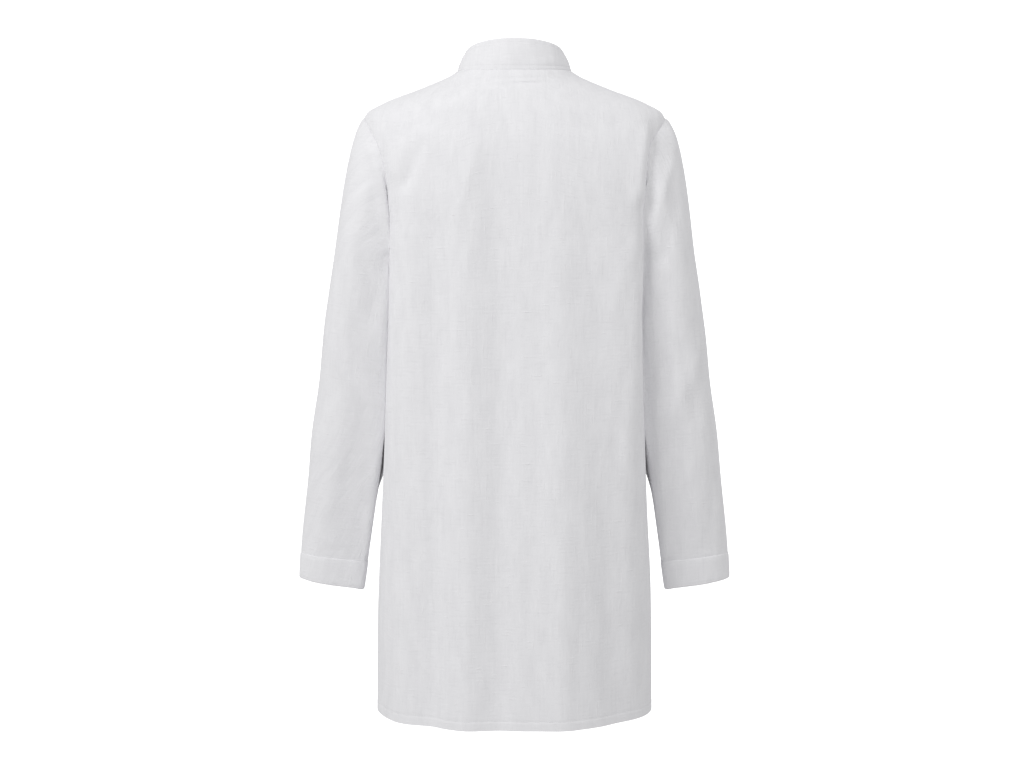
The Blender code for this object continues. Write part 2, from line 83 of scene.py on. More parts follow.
def pick(thing):
    """Select one object and make it the active one."""
    let_go()
    thing.select_set(True)
    bpy.context.view_layer.objects.active = thing


def apply_all(thing):
    """Apply a piece's modifiers from top to bottom."""
    pick(thing)
    for modifier in list(thing.modifiers):
        bpy.ops.object.modifier_apply(modifier=modifier.name)


def finish_piece(thing, nodes=()):
    """Hand a piece to the frame: attach it to its body, hide the nodes it stands for and print its
    triangles.
    """
    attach(thing, "root")
    if nodes:
        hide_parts(*nodes)
    triangles = sum(len(face.vertices) - 2 for face in thing.data.polygons)
    print(thing.name, "triangles:", triangles)


def mix(a, b, t):
    """The value that lies this part of the way from one to another."""
    return a + (b - a) * t


def smooth(t):
    """0 below 0 and 1 above 1, with a soft rise between them."""
    t = np.clip(t, 0.0, 1.0)
    return t * t * (3.0 - 2.0 * t)


def signed_power(value, power):
    """A power of a number's size that keeps its sign."""
    return np.sign(value) * np.abs(value) ** power


# %% [markdown]
# The form of the body
#
# A shirt on a figure has no flat place, but every level of it is a rounded oblong.  So the body
# is a short table of levels, from the hem to the neckline, with the width, the depth behind and
# in front, and how square the level is.  The height is measured at the side seam and on the
# shoulder seam, and the two drops say how much lower the level lies at the centre back and the
# centre front.  These are the sizes that the solids were made from, so the cloth meets them.  Only
# the armholes lie a few degrees farther round, where the corner of the back is.

# %% Levels of the body
Section = namedtuple(
    "Section", "height half_width back front roundness back_drop front_drop")
BODY = [
    Section(-0.864, 0.1860, 0.130, 0.122, 2.35, 0.008, 0.006),
    Section(-0.720, 0.1853, 0.123, 0.118, 2.45, 0.006, 0.004),
    Section(-0.570, 0.1785, 0.115, 0.112, 2.90, 0.003, 0.002),
    Section(-0.400, 0.1720, 0.108, 0.110, 3.80, 0.000, 0.000),
    Section(-0.235, 0.1690, 0.107, 0.118, 4.40, 0.000, 0.000),
    Section(-0.170, 0.1765, 0.107, 0.115, 4.00, 0.002, 0.005),
    Section(-0.110, 0.1945, 0.104, 0.109, 3.00, 0.010, 0.020),
    Section(-0.064, 0.2045, 0.099, 0.103, 2.20, 0.024, 0.044),
    Section(-0.0436, 0.1790, 0.093, 0.098, 2.08, 0.0205, 0.049),
    Section(-0.0243, 0.1300, 0.084, 0.091, 2.00, 0.0175, 0.0550),
    Section(-0.0088, 0.0930, 0.073, 0.083, 2.00, 0.0140, 0.0620),
    Section(0.0000, 0.0780, 0.065, 0.078, 2.10, 0.009, 0.062),
]
DROP_POWER = 1.35
UNDERARM_LEVEL = 4.0
SHOULDER_LEVEL = 7.0
NECK_LEVEL = float(len(BODY) - 1)
ARMHOLE_BACK = math.radians(35)
ARMHOLE_FRONT = math.radians(36)
HALF_TURN = math.pi
CENTRE_FRONT = 1.5 * math.pi
STEP = 0.001


def table_at(table, level):
    """Read a table at an array of levels, on a smooth curve through its rows."""
    rows = np.array(table)
    last = len(rows) - 1
    level = np.clip(np.asarray(level, dtype=float), 0.0, last)
    low = np.minimum(level.astype(int), last - 1)
    t = (level - low)[..., None]
    a = rows[low]
    b = rows[low + 1]
    leave = 0.5 * (b - rows[np.maximum(low - 1, 0)])
    arrive = 0.5 * (rows[np.minimum(low + 2, last)] - a)
    t2 = t * t
    t3 = t2 * t
    values = ((2 * t3 - 3 * t2 + 1) * a + (t3 - 2 * t2 + t) * leave
              + (3 * t2 - 2 * t3) * b + (t3 - t2) * arrive)
    return type(table[0])(*np.moveaxis(values, -1, 0))


print("levels of the body:", len(BODY))

# %% [markdown]
# Folds
#
# The shirt hangs from the shoulder blades and swings free below them, so broad soft folds run
# down its back: four ridges, with troughs between them.  Each fold is one row of a table, a line
# from a low point to a high one, with a width and a depth at each end.  A trough has a depth
# below zero.  Short creases near the armholes are rows of the same kind, and so are the drag
# lines on the sleeves, where the cloth is pulled from the shoulder to the underarm.

# %% Folds of the body
Fold = namedtuple("Fold", "low across_low high across_high width depth_low depth_high")
FOLD_OVERRUN = 0.25
FOLD_START = 0.35
FOLD_END = 0.50
SIDE_FADE = 0.055
UNEVEN_FADE = 0.03
BACK_FOLDS = [
    Fold(-0.90, 0.149, -0.20, 0.138, 0.019, 0.0060, 0.0020),
    Fold(-0.90, 0.111, -0.16, 0.104, 0.017, -0.0066, -0.0030),
    Fold(-0.90, 0.064, -0.09, 0.062, 0.021, 0.0068, 0.0034),
    Fold(-0.90, 0.019, -0.11, 0.018, 0.020, -0.0056, -0.0028),
    Fold(-0.90, -0.064, -0.09, -0.052, 0.024, 0.0072, 0.0026),
    Fold(-0.90, -0.140, -0.13, -0.098, 0.026, -0.0078, -0.0026),
    Fold(-0.90, -0.155, -0.13, -0.160, 0.018, 0.0000, 0.0060),
]
FRONT_FOLDS = [
    Fold(-0.90, 0.150, -0.26, 0.132, 0.018, 0.0056, 0.0018),
    Fold(-0.90, 0.112, -0.22, 0.096, 0.018, -0.0058, -0.0016),
    Fold(-0.90, 0.068, -0.18, 0.062, 0.020, 0.0060, 0.0012),
    Fold(-0.90, -0.064, -0.18, -0.058, 0.020, 0.0060, 0.0012),
    Fold(-0.90, -0.108, -0.22, -0.094, 0.018, -0.0056, -0.0016),
    Fold(-0.90, -0.149, -0.26, -0.134, 0.018, 0.0054, 0.0018),
]
BACK_CREASES = [
    Fold(-0.166, 0.143, -0.104, 0.118, 0.009, -0.0036, -0.0020),
    Fold(-0.150, 0.158, -0.100, 0.140, 0.008, 0.0018, 0.0012),
    Fold(-0.180, -0.159, -0.086, -0.173, 0.008, 0.0055, 0.0050),
    Fold(-0.430, -0.159, -0.190, -0.159, 0.008, 0.0026, 0.0048),
    Fold(-0.0333, 0.0350, -0.0274, -0.0250, 0.024, -0.0014, -0.0018),
    Fold(-0.0235, 0.0180, -0.0190, -0.0320, 0.030, -0.0010, -0.0012),
    Fold(-0.0370, 0.0720, -0.0340, 0.0400, 0.020, -0.0008, -0.0009),
    Fold(-0.160, 0.0800, -0.092, 0.0640, 0.008, -0.0014, -0.0014),
    Fold(-0.200, 0.0700, -0.110, 0.0480, 0.007, 0.0013, 0.0011),
    Fold(-0.320, 0.128, -0.235, 0.150, 0.010, 0.0012, 0.0022),
    Fold(-0.335, -0.126, -0.240, -0.150, 0.010, 0.0012, 0.0020),
    Fold(-0.560, 0.036, -0.300, 0.030, 0.009, 0.0010, 0.0006),
    Fold(-0.700, -0.020, -0.380, -0.026, 0.010, -0.0011, -0.0005),
    Fold(-0.840, 0.090, -0.560, 0.086, 0.009, 0.0012, 0.0005),
    Fold(-0.850, -0.082, -0.620, -0.080, 0.009, -0.0012, -0.0004),
    Fold(-0.560, 0.140, -0.440, 0.128, 0.008, -0.0010, -0.0012),
    Fold(-0.520, -0.134, -0.400, -0.146, 0.008, -0.0012, -0.0010),
]
ARMHOLE_TROUGHS = [
    Fold(-0.190, -0.1790, -0.088, -0.1850, 0.0064, -0.0036, -0.0036),
    Fold(-0.335, -0.1690, -0.215, -0.1770, 0.0060, -0.0034, -0.0050),
    Fold(-0.530, -0.1840, -0.345, -0.1695, 0.0060, -0.0014, -0.0034),
    Fold(-0.232, 0.1850, -0.168, 0.1880, 0.0095, -0.0018, -0.0016),
]
SLEEVE_BACK_CREASES = [
    Fold(-0.228, -0.1810, -0.126, -0.2090, 0.0070, 0.0022, 0.0030),
    Fold(-0.260, -0.1960, -0.175, -0.2160, 0.0080, -0.0022, -0.0014),
    Fold(-0.112, -0.2180, -0.082, -0.2120, 0.0065, 0.0020, 0.0022),
    Fold(-0.100, 0.1690, -0.076, 0.1840, 0.0050, 0.0012, 0.0014),
    Fold(-0.170, 0.1720, -0.108, 0.1950, 0.0065, 0.0018, 0.0018),
    Fold(-0.250, 0.1690, -0.127, 0.1960, 0.0090, -0.0028, -0.0012),
    Fold(-0.338, 0.1930, -0.262, 0.1740, 0.0090, -0.0018, -0.0014),
    Fold(-0.366, 0.1800, -0.285, 0.1690, 0.0080, 0.0016, 0.0022),
    Fold(-0.680, 0.1950, -0.500, 0.1850, 0.0100, 0.0032, 0.0026),
    Fold(-0.680, -0.2060, -0.500, -0.1930, 0.0090, 0.0024, 0.0020),
    Fold(-0.430, -0.2260, -0.330, -0.1980, 0.0100, 0.0020, 0.0014),
    Fold(-0.470, -0.2440, -0.380, -0.2200, 0.0090, -0.0016, -0.0016),
    Fold(-0.560, 0.2260, -0.460, 0.2040, 0.0100, -0.0018, -0.0012),
    Fold(-0.600, 0.2520, -0.500, 0.2360, 0.0090, 0.0014, 0.0012),
    Fold(-0.620, -0.2500, -0.530, -0.2300, 0.0090, 0.0016, 0.0012),
    Fold(-0.6535, 0.2340, -0.6490, 0.2640, 0.0120, -0.0007, -0.0005),
    Fold(-0.6440, 0.2300, -0.6390, 0.2560, 0.0120, 0.0005, 0.0004),
    Fold(-0.6520, -0.2680, -0.6480, -0.2400, 0.0110, -0.0005, -0.0006),
    Fold(-0.6400, -0.2740, -0.6350, -0.2480, 0.0120, 0.0004, 0.0005),
]
FRONT_CREASES = [
    Fold(-0.172, 0.140, -0.112, 0.118, 0.010, -0.0028, -0.0014),
    Fold(-0.168, -0.142, -0.105, -0.122, 0.010, -0.0026, -0.0016),
    Fold(-0.300, 0.122, -0.225, 0.150, 0.011, 0.0016, 0.0026),
    Fold(-0.310, -0.120, -0.230, -0.150, 0.011, 0.0016, 0.0024),
    Fold(-0.360, 0.080, -0.235, 0.120, 0.012, 0.0008, 0.0018),
    Fold(-0.350, -0.086, -0.235, -0.122, 0.012, 0.0008, 0.0016),
    Fold(-0.840, 0.092, -0.580, 0.088, 0.009, 0.0011, 0.0005),
    Fold(-0.840, -0.040, -0.600, -0.038, 0.010, -0.0010, -0.0004),
    Fold(-0.780, 0.042, -0.520, 0.040, 0.010, -0.0010, -0.0005),
]


def fold_push(folds, across, height):
    """How far a list of folds pushes the cloth out, at arrays of places."""
    push = np.zeros(np.broadcast(across, height).shape)
    for fold in folds:
        t = (height - fold.low) / (fold.high - fold.low)
        inside = (smooth((t + FOLD_OVERRUN) / FOLD_START)
                  * smooth((1.0 + FOLD_OVERRUN - t) / FOLD_END))
        t = np.clip(t, 0.0, 1.0)
        offset = (across - mix(fold.across_low, fold.across_high, t)) / fold.width
        push += mix(fold.depth_low, fold.depth_high, t) * inside * np.exp(-offset * offset)
    return push


def unevenness(across, height):
    """The slight hand-washed unevenness of linen, under half a millimetre, from a few waves."""
    slow = np.sin(61.0 * across + 1.3 * np.sin(9.0 * height)) * np.sin(17.0 * height + 0.7)
    quick = np.sin(143.0 * across + 5.0 * height + 2.0 * np.sin(23.0 * height))
    cross = np.sin(37.0 * height + 2.0 * np.sin(31.0 * across))
    return 0.00022 * slow + 0.00010 * quick + 0.00014 * cross


def body_point(level, angle):
    """Points of the body's outer surface, as an array with three numbers to a place."""
    section = table_at(BODY, level)
    cosine = np.cos(angle)
    sine = np.sin(angle)
    behind = sine >= 0.0
    depth = np.where(behind, section.back, section.front)
    drop = np.where(behind, section.back_drop, section.front_drop)
    power = 2.0 / section.roundness
    x = section.half_width * signed_power(cosine, power)
    y = depth * signed_power(sine, power)
    z = section.height - drop * np.abs(sine) ** DROP_POWER
    out_x = signed_power(cosine, 2.0 - power) / section.half_width
    out_y = signed_power(sine, 2.0 - power) / depth
    size = np.hypot(out_x, out_y)
    behind_push = fold_push(BACK_FOLDS + BACK_CREASES + ARMHOLE_TROUGHS, x, z)
    front_push = fold_push(FRONT_FOLDS + FRONT_CREASES, x, z)
    push = np.where(behind, behind_push, front_push) * smooth(np.abs(y) / SIDE_FADE)
    push = push + unevenness(x, z) * smooth(np.abs(y) / UNEVEN_FADE)
    return np.stack([x + out_x / size * push, y + out_y / size * push, z], axis=-1)


def unit(vectors):
    return vectors / np.maximum(np.linalg.norm(vectors, axis=-1, keepdims=True), 1e-12)


def body_frame(level, angle):
    """Points of the body, the way round it at each, and the way out of it."""
    point = body_point(level, angle)
    around = body_point(level, angle + STEP) - body_point(level, angle - STEP)
    upward = (body_point(np.minimum(NECK_LEVEL, level + STEP), angle)
              - body_point(np.maximum(0.0, level - STEP), angle))
    return point, unit(around), unit(np.cross(around, upward))


def angle_at_front(level, across):
    """The angle at which the front of each level is this far left of the centre."""
    section = table_at(BODY, level)
    part = signed_power(across / section.half_width, section.roundness / 2.0)
    return CENTRE_FRONT + np.arcsin(part)


def direction_of(angle, power):
    """The direction in which a section's point at this angle lies, or the other way round."""
    turned = np.arctan2(signed_power(np.sin(angle), power), signed_power(np.cos(angle), power))
    return turned + 2.0 * HALF_TURN * np.round((angle - turned) / (2.0 * HALF_TURN))


def armhole_angle(level, widest):
    """How far round the body the armhole reaches at each level, from the side."""
    part = (level - UNDERARM_LEVEL) / (SHOULDER_LEVEL - UNDERARM_LEVEL)
    part = np.clip(part, 0.0, 1.0)
    direction = widest * np.sqrt(np.maximum(np.sin(math.pi * part), 0.0))
    return direction_of(direction, 0.5 * table_at(BODY, level).roundness)


print("folds:", len(BACK_FOLDS), "behind,", len(FRONT_FOLDS), "in front")

# %% [markdown]
# From a grid to a cloth
#
# A woven cloth is a grid of threads, so a panel starts as a ready-made flat grid, with one column
# of squares to each few millimetres of cloth.  Its points are then laid on the form.  Every panel
# also gets a UV map in metres of flat cloth, so that the weave keeps one scale all over the
# shirt and its warp runs down each piece, as it does where the piece is cut on the straight.
# Solidify gives the sheet its thickness on the inner side, and leaves the outer side in place.

# %% Cloth made from a grid
LINEN = 0.0007
BAND_LINEN = 0.0013
SHARP_EDGE = math.radians(35)


def new_grid(name, columns, rows):
    """A flat grid with this many squares each way, as a new mesh object."""
    let_go()
    bpy.ops.mesh.primitive_grid_add(x_subdivisions=columns, y_subdivisions=rows, size=1.0)
    thing = bpy.context.active_object
    thing.name = name
    thing.data.name = name
    return thing


def lay_cloth(name, points, flat, thickness, closed=False):
    """Lay a grid on an array of points, rows by columns, with the flat cloth's own map.

    The rows run up the piece and the columns run round it, counterclockwise from above.
    """
    rows, columns = points.shape[:2]
    thing = new_grid(name, columns - 1, rows - 1)
    mesh = thing.data
    mesh.vertices.foreach_set("co", points.reshape(-1))
    loops = np.empty(len(mesh.loops), dtype=int)
    mesh.loops.foreach_get("vertex_index", loops)
    while mesh.uv_layers:
        mesh.uv_layers.remove(mesh.uv_layers[0])
    layer = mesh.uv_layers.new(name="flat_cloth")
    layer.data.foreach_set("uv", flat.reshape(-1, 2)[loops].reshape(-1))
    mesh.update()
    if closed:
        shape = bmesh.new()
        shape.from_mesh(mesh)
        bmesh.ops.remove_doubles(shape, verts=shape.verts[:], dist=0.00001)
        shape.to_mesh(mesh)
        shape.free()
    wall = thing.modifiers.new("thickness", 'SOLIDIFY')
    wall.thickness = thickness
    wall.offset = -1.0
    apply_all(thing)
    pick(thing)
    bpy.ops.object.shade_smooth_by_angle(angle=SHARP_EDGE)
    return thing


print("cloth thickness, single and double:", LINEN, BAND_LINEN)

# %% [markdown]
# Rows and columns of a panel
#
# A panel's rows follow the levels of the body.  Below the underarm they lie every few
# millimetres, and closer at the hem, where the cloth is turned up and stitched.  Beside the
# armhole they crowd towards its two ends, as points do round a circle.  Columns crowd at both
# edges, because a seam is a narrow thing.

# %% Rows and columns
ROW_STEP = 0.0046
HEM_DEPTH = 0.0120
HEM_ROWS = [0.0, 0.0010, 0.0030, 0.0055, 0.0080, 0.0098, 0.0110, 0.0120, 0.0130, 0.0142,
            0.0165, 0.0200]
ARMHOLE_ROWS = 46
SHOULDER_ROWS = 36
EDGE_COLUMNS = [0.0, 0.0010, 0.0022, 0.0040, 0.0065]

DENSE_LEVELS = np.linspace(0.0, NECK_LEVEL, 2201)
DENSE_HEIGHTS = table_at(BODY, DENSE_LEVELS).height


def level_at_height(height):
    """The level whose side seam lies at each height."""
    return np.interp(height, DENSE_HEIGHTS, DENSE_LEVELS)


def armhole_levels(count):
    """Levels beside the armhole, closer together at both of its ends."""
    part = 0.5 * (1.0 - np.cos(np.linspace(0.0, math.pi, count + 1)))
    return mix(UNDERARM_LEVEL, SHOULDER_LEVEL, part)


def panel_levels():
    """Levels of all the rows of a panel, from the hem to the neckline."""
    hem = BODY[0].height
    underarm = BODY[int(UNDERARM_LEVEL)].height
    low = hem + np.array(HEM_ROWS)
    count = int((underarm - low[-1]) / ROW_STEP)
    middle = np.linspace(low[-1], underarm, count + 1)[1:-1]
    below = level_at_height(np.concatenate([low, middle]))
    above = np.linspace(SHOULDER_LEVEL, NECK_LEVEL, SHOULDER_ROWS + 1)[1:]
    return np.concatenate([below, armhole_levels(ARMHOLE_ROWS), above])


def panel_parts(count, width):
    """Places of a panel's columns from 0 to 1, close together at both edges."""
    edge = np.array(EDGE_COLUMNS) / width
    inside = np.linspace(edge[-1], 1.0 - edge[-1], count)[1:-1]
    return np.concatenate([edge, inside, 1.0 - edge[::-1]])


LEVELS = panel_levels()
print("rows of a panel:", len(LEVELS))

# %% [markdown]
# Seams, puckers and the hem
#
# Where two pieces are sewn, the stitching draws the cloth in, so each edge dips a little and the
# cloth beside it puckers in short waves.  Past the stitches the cloth goes on for a few
# millimetres, turned to the inside, which is why no light comes through a seam.  The hem is cloth
# turned up twice: it stands slightly proud below its line of stitches, and the line itself is a
# shallow groove.

# %% Relief along edges
SEAM_DIP = 0.00025
SEAM_REACH = 0.0030
ALLOWANCE = [(0.0002, 0.0004), (0.0004, 0.0014), (0.0010, 0.0060)]
PUCKER = 0.00022
PUCKER_LENGTH = 0.0125
HEM_PROUD = 0.00035
HEM_STEP = 0.0020
HEM_GROOVE = 0.00040
HEM_GROOVE_WIDTH = 0.0011
HEM_RIPPLE = 0.00028
HEM_RIPPLE_LENGTH = 0.0140
HEM_RIPPLE_REACH = 0.0060
HEM_SLANT = 0.6


def near(distance, reach):
    """1 at no distance, and softly down to nothing past a reach."""
    return np.exp(-(distance / reach) ** 2)


def ripples(run, length, sway, rate, shift=0.0):
    """Waves of a length along a run, which sway a little so that no two are alike."""
    return np.sin(2.0 * HALF_TURN * run / length + sway * np.sin(rate * run) + shift)


def edge_relief(distance, run):
    """Dip and puckers at a distance from a seam, with the run measured along it."""
    wave = ripples(run, PUCKER_LENGTH, 1.7, 41.0)
    return (PUCKER * wave * near(distance, 3.0 * SEAM_REACH)
            - SEAM_DIP * near(distance, SEAM_REACH))


def hem_relief(above, run):
    """Thickness of a turned hem, the groove of its stitches and its slanting ripples."""
    line = above - HEM_DEPTH
    proud = HEM_PROUD * smooth((0.5 * HEM_STEP - line) / HEM_STEP)
    groove = -HEM_GROOVE * near(line, HEM_GROOVE_WIDTH)
    slant = 2.0 * HALF_TURN * HEM_SLANT * above / HEM_RIPPLE_LENGTH
    wave = ripples(run, HEM_RIPPLE_LENGTH, 2.1, 29.0, slant)
    return proud + groove + HEM_RIPPLE * wave * near(line, HEM_RIPPLE_REACH)


def lengths_along(points):
    """Length from the first column to each point, row by row."""
    steps = np.linalg.norm(np.diff(points, axis=1), axis=-1)
    return np.concatenate([np.zeros((len(points), 1)), np.cumsum(steps, axis=1)], axis=1)


def lengths_up(points):
    """Length from the first row to each point, column by column."""
    steps = np.linalg.norm(np.diff(points, axis=0), axis=-1)
    return np.concatenate([np.zeros((1, points.shape[1])), np.cumsum(steps, axis=0)], axis=0)


def turn_in(points, outward):
    """The seam allowance past the last row of an array: rows that turn to the inner side."""
    past = unit(points[-1] - points[-2])
    rows = [points[-1] + past * reach - outward[-1] * depth for reach, depth in ALLOWANCE]
    return np.concatenate([points, np.array(rows)], axis=0)


def turn_in_edges(points, outward, flat, sides):
    """Add seam allowances along the left, right and top edges of a panel, where it has them."""
    for way, sewn in zip(("left", "right", "top"), sides):
        if not sewn:
            continue
        grids = [points, outward, flat]
        if way == "left":
            grids = [grid[:, ::-1] for grid in grids]
        if way != "top":
            grids = [grid.swapaxes(0, 1) for grid in grids]
        count = len(ALLOWANCE)
        grown = turn_in(grids[0], grids[1])
        out = np.concatenate([grids[1], np.repeat(grids[1][-1:], count, axis=0)], axis=0)
        step = grids[2][-1] - grids[2][-2]
        step = step / np.maximum(np.linalg.norm(step, axis=-1, keepdims=True), 1e-9)
        more = np.array([grids[2][-1] + step * (reach + depth) for reach, depth in ALLOWANCE])
        laid = np.concatenate([grids[2], more], axis=0)
        grids = [grown, out, laid]
        if way != "top":
            grids = [grid.swapaxes(0, 1) for grid in grids]
        if way == "left":
            grids = [grid[:, ::-1] for grid in grids]
        points, outward, flat = grids
    return points, flat


def lay_panel(name, first, last, count, width, seams=(True, True)):
    """Cloth of a body panel between two edges, which are given as an angle for each level."""
    parts = panel_parts(count, width)
    power = 2.0 / table_at(BODY, LEVELS).roundness[:, None]
    start = direction_of(first[:, None], power)
    end = direction_of(last[:, None], power)
    angles = direction_of(start + (end - start) * parts[None, :], 1.0 / power)
    levels = np.broadcast_to(LEVELS[:, None], angles.shape)
    points, around, outward = body_frame(levels, angles)
    along = lengths_along(points)
    upward = lengths_up(points)
    relief = hem_relief(upward, along)
    if seams[0]:
        relief = relief + edge_relief(along, upward)
    if seams[1]:
        relief = relief + edge_relief(along[:, -1:] - along, upward)
    relief = relief - SEAM_DIP * near(upward[-1:] - upward, SEAM_REACH)
    points = points + outward * relief[..., None]
    flat = np.stack([along - along[:, [along.shape[1] // 2]], upward], axis=-1)
    points, flat = turn_in_edges(points, outward, flat, (*seams, True))
    return lay_cloth(name, points, flat, LINEN), points


print("seam allowance:", ALLOWANCE[-1][1], "hem depth:", HEM_DEPTH)

# %% [markdown]
# The back
#
# The back is the piece that the photograph shows best.  It is cut in one, with no yoke and no
# seam down its middle.  Its edges are the side seams, the armholes and the shoulder seams, which
# all lie at the sides of the form, so one grid from side to side covers it.

# %% Back
BACK_COLUMNS = 118
PANEL_WIDTH = 0.48
back_hole = armhole_angle(LEVELS, ARMHOLE_BACK)
back_cloth, back_points = lay_panel(
    "back_cloth", back_hole, HALF_TURN - back_hole, BACK_COLUMNS, PANEL_WIDTH)
finish_piece(back_cloth, ["back"])

# %% [markdown]
# The two fronts
#
# Nothing of the front shows in the photograph, so it is cut as plainly as such a shirt can be:
# two fronts that meet under a straight band.

# %% Fronts
FRONT_COLUMNS = 58
FRONT_WIDTH = 0.24
FRONT_EDGE = -0.011
front_hole = armhole_angle(LEVELS, ARMHOLE_FRONT)
front_edge = angle_at_front(LEVELS, FRONT_EDGE)
front_right_cloth, front_right_points = lay_panel(
    "front_right_cloth", HALF_TURN + front_hole, front_edge, FRONT_COLUMNS, FRONT_WIDTH,
    seams=(True, False))
front_left_cloth, front_left_points = lay_panel(
    "front_left_cloth", front_edge, 2.0 * HALF_TURN - front_hole, FRONT_COLUMNS, FRONT_WIDTH,
    seams=(False, True))
finish_piece(front_right_cloth, ["front_right"])
finish_piece(front_left_cloth, ["front_left"])

# %% [markdown]
# The front band
#
# The band is a strip of double cloth that lies on the edges of both fronts.  It is made from the
# fronts' own points, moved out, and its two lines of edge stitching draw it down a little.

# %% Front band
PLACKET_HALF = 0.016
PLACKET_LIFT = 0.00135
PLACKET_COLUMNS = 22
EDGE_STITCH = 0.0020
PLACKET_END_LEVEL = 0.3
GROOVE = 0.00035
GROOVE_WIDTH = 0.0008
PRESSED_EDGE = 0.00025
BAND_RIPPLE = 0.00016
BAND_RIPPLE_REACH = 0.004


def band_relief(points, across):
    """The face of the front band: pressed edges, stitch grooves and slight ripples."""
    edge = PLACKET_HALF - np.abs(across)
    wave = ripples(lengths_up(points), 0.0165, 1.9, 23.0, 9.0 * across)
    return (-GROOVE * near(edge - EDGE_STITCH, GROOVE_WIDTH)
            - PRESSED_EDGE * near(edge, GROOVE_WIDTH)
            + BAND_RIPPLE * wave * near(edge - EDGE_STITCH, BAND_RIPPLE_REACH))


band_levels = LEVELS.copy()
band_levels[-1] -= PLACKET_END_LEVEL
band_across = np.linspace(-PLACKET_HALF, PLACKET_HALF, PLACKET_COLUMNS + 1)
band_angles = angle_at_front(band_levels[:, None], band_across[None, :])
band_points, _, band_out = body_frame(
    np.broadcast_to(band_levels[:, None], band_angles.shape), band_angles)
band_lift = PLACKET_LIFT + band_relief(band_points, band_across[None, :])
band_points = band_points + band_out * band_lift[..., None]
band_flat = np.stack([lengths_along(band_points), lengths_up(band_points)], axis=-1)
placket_cloth = lay_cloth("placket_cloth", band_points, band_flat, BAND_LINEN)
finish_piece(placket_cloth, ["placket"])

# %% [markdown]
# The collar
#
# The collar is a band that starts beside the left front, runs round the back of the neck and
# ends over its own start.  Its rows run from the neck seam to the top edge.  It is two layers of
# linen with a stiffer one between them, so it bows slightly outward, and the topstitching leaves
# one groove near the seam and another near the top edge.

# %% Collar
COLLAR_SIDE = 0.0655
COLLAR_BACK = 0.0585
COLLAR_FRONT = 0.0730
COLLAR_TOP_SIDE = 0.0273
COLLAR_TOP_BACK = 0.0345
COLLAR_TOP_FRONT = -0.0250
COLLAR_LINEN = 0.0020
COLLAR_SEAM_GAP = 0.0001
COLLAR_TUCK = 0.0012
COLLAR_CORNER = 0.012
COLLAR_BOW = 0.0015
COLLAR_OVERLAP_GAP = 0.0009
COLLAR_BACK_COLUMNS = 110
COLLAR_FRONT_COLUMNS = 62
COLLAR_RISE = [0.0, 0.0010, 0.0022, 0.0034, 0.0045, 0.0055, 0.0066, 0.0085, 0.0110, 0.0140,
               0.0170, 0.0200, 0.0228, 0.0250, 0.0262, 0.0272, 0.0282, 0.0293, 0.0305, 0.0315,
               0.0325, 0.0335, 0.0342]
COLLAR_LOW_STITCH = 0.0050
COLLAR_TOP_STITCH = 0.0068
COLLAR_LOW_GROOVE = 0.00050
COLLAR_TOP_GROOVE = 0.00055
COLLAR_GROOVE_WIDTH = 0.0010
COLLAR_SEAM_DIP = 0.00030
COLLAR_SEAM_REACH = 0.0012
COLLAR_EDGE_DIP = 0.0003
COLLAR_EDGE_REACH = 0.0009
COLLAR_RIPPLE = 0.00013
COLLAR_RIPPLE_REACH = 0.006
COLLAR_WAVE = 0.00022
LAP_START = 0.75
LAP_REACH = 0.5
Dent = namedtuple("Dent", "turn height reach_round reach_up depth")
COLLAR_DENTS = [
    Dent(118.0, 0.0190, 0.30, 0.0032, 0.0007),
    Dent(138.0, 0.0120, 0.22, 0.0040, -0.0006),
    Dent(70.0, 0.0225, 0.26, 0.0030, 0.0005),
    Dent(52.0, 0.0110, 0.20, 0.0050, -0.0004),
]


def collar_top(angle):
    """Points of the collar's upper edge."""
    sine = np.sin(angle)
    behind = sine >= 0.0
    power = 2.0 / BODY[-1].roundness
    depth = np.where(behind, COLLAR_BACK, COLLAR_FRONT)
    end_height = np.where(behind, COLLAR_TOP_BACK, COLLAR_TOP_FRONT)
    return np.stack([COLLAR_SIDE * signed_power(np.cos(angle), power),
                     depth * signed_power(sine, power),
                     mix(COLLAR_TOP_SIDE, end_height, np.abs(sine) ** DROP_POWER)], axis=-1)


def dent_depth(angles, height):
    """How deep the collar's soft dents are, at arrays of places."""
    depth = 0.0
    for dent in COLLAR_DENTS:
        away = np.hypot((angles - math.radians(dent.turn)) / dent.reach_round,
                        (height - dent.height) / dent.reach_up)
        depth = depth + dent.depth * near(away, 1.0)
    return depth


def collar_angles(start, end):
    """Angles of the collar's columns, closer together at its two rounded ends."""
    part = np.arange(COLLAR_FRONT_COLUMNS) / COLLAR_FRONT_COLUMNS
    first = start * (1.0 - 0.5 * (part + part * part))
    back = np.linspace(0.0, HALF_TURN, COLLAR_BACK_COLUMNS + 1)[:-1]
    part = 1.0 - np.arange(COLLAR_FRONT_COLUMNS + 1) / COLLAR_FRONT_COLUMNS
    return np.concatenate([first, back, mix(end, HALF_TURN, 0.5 * (part + part * part))])


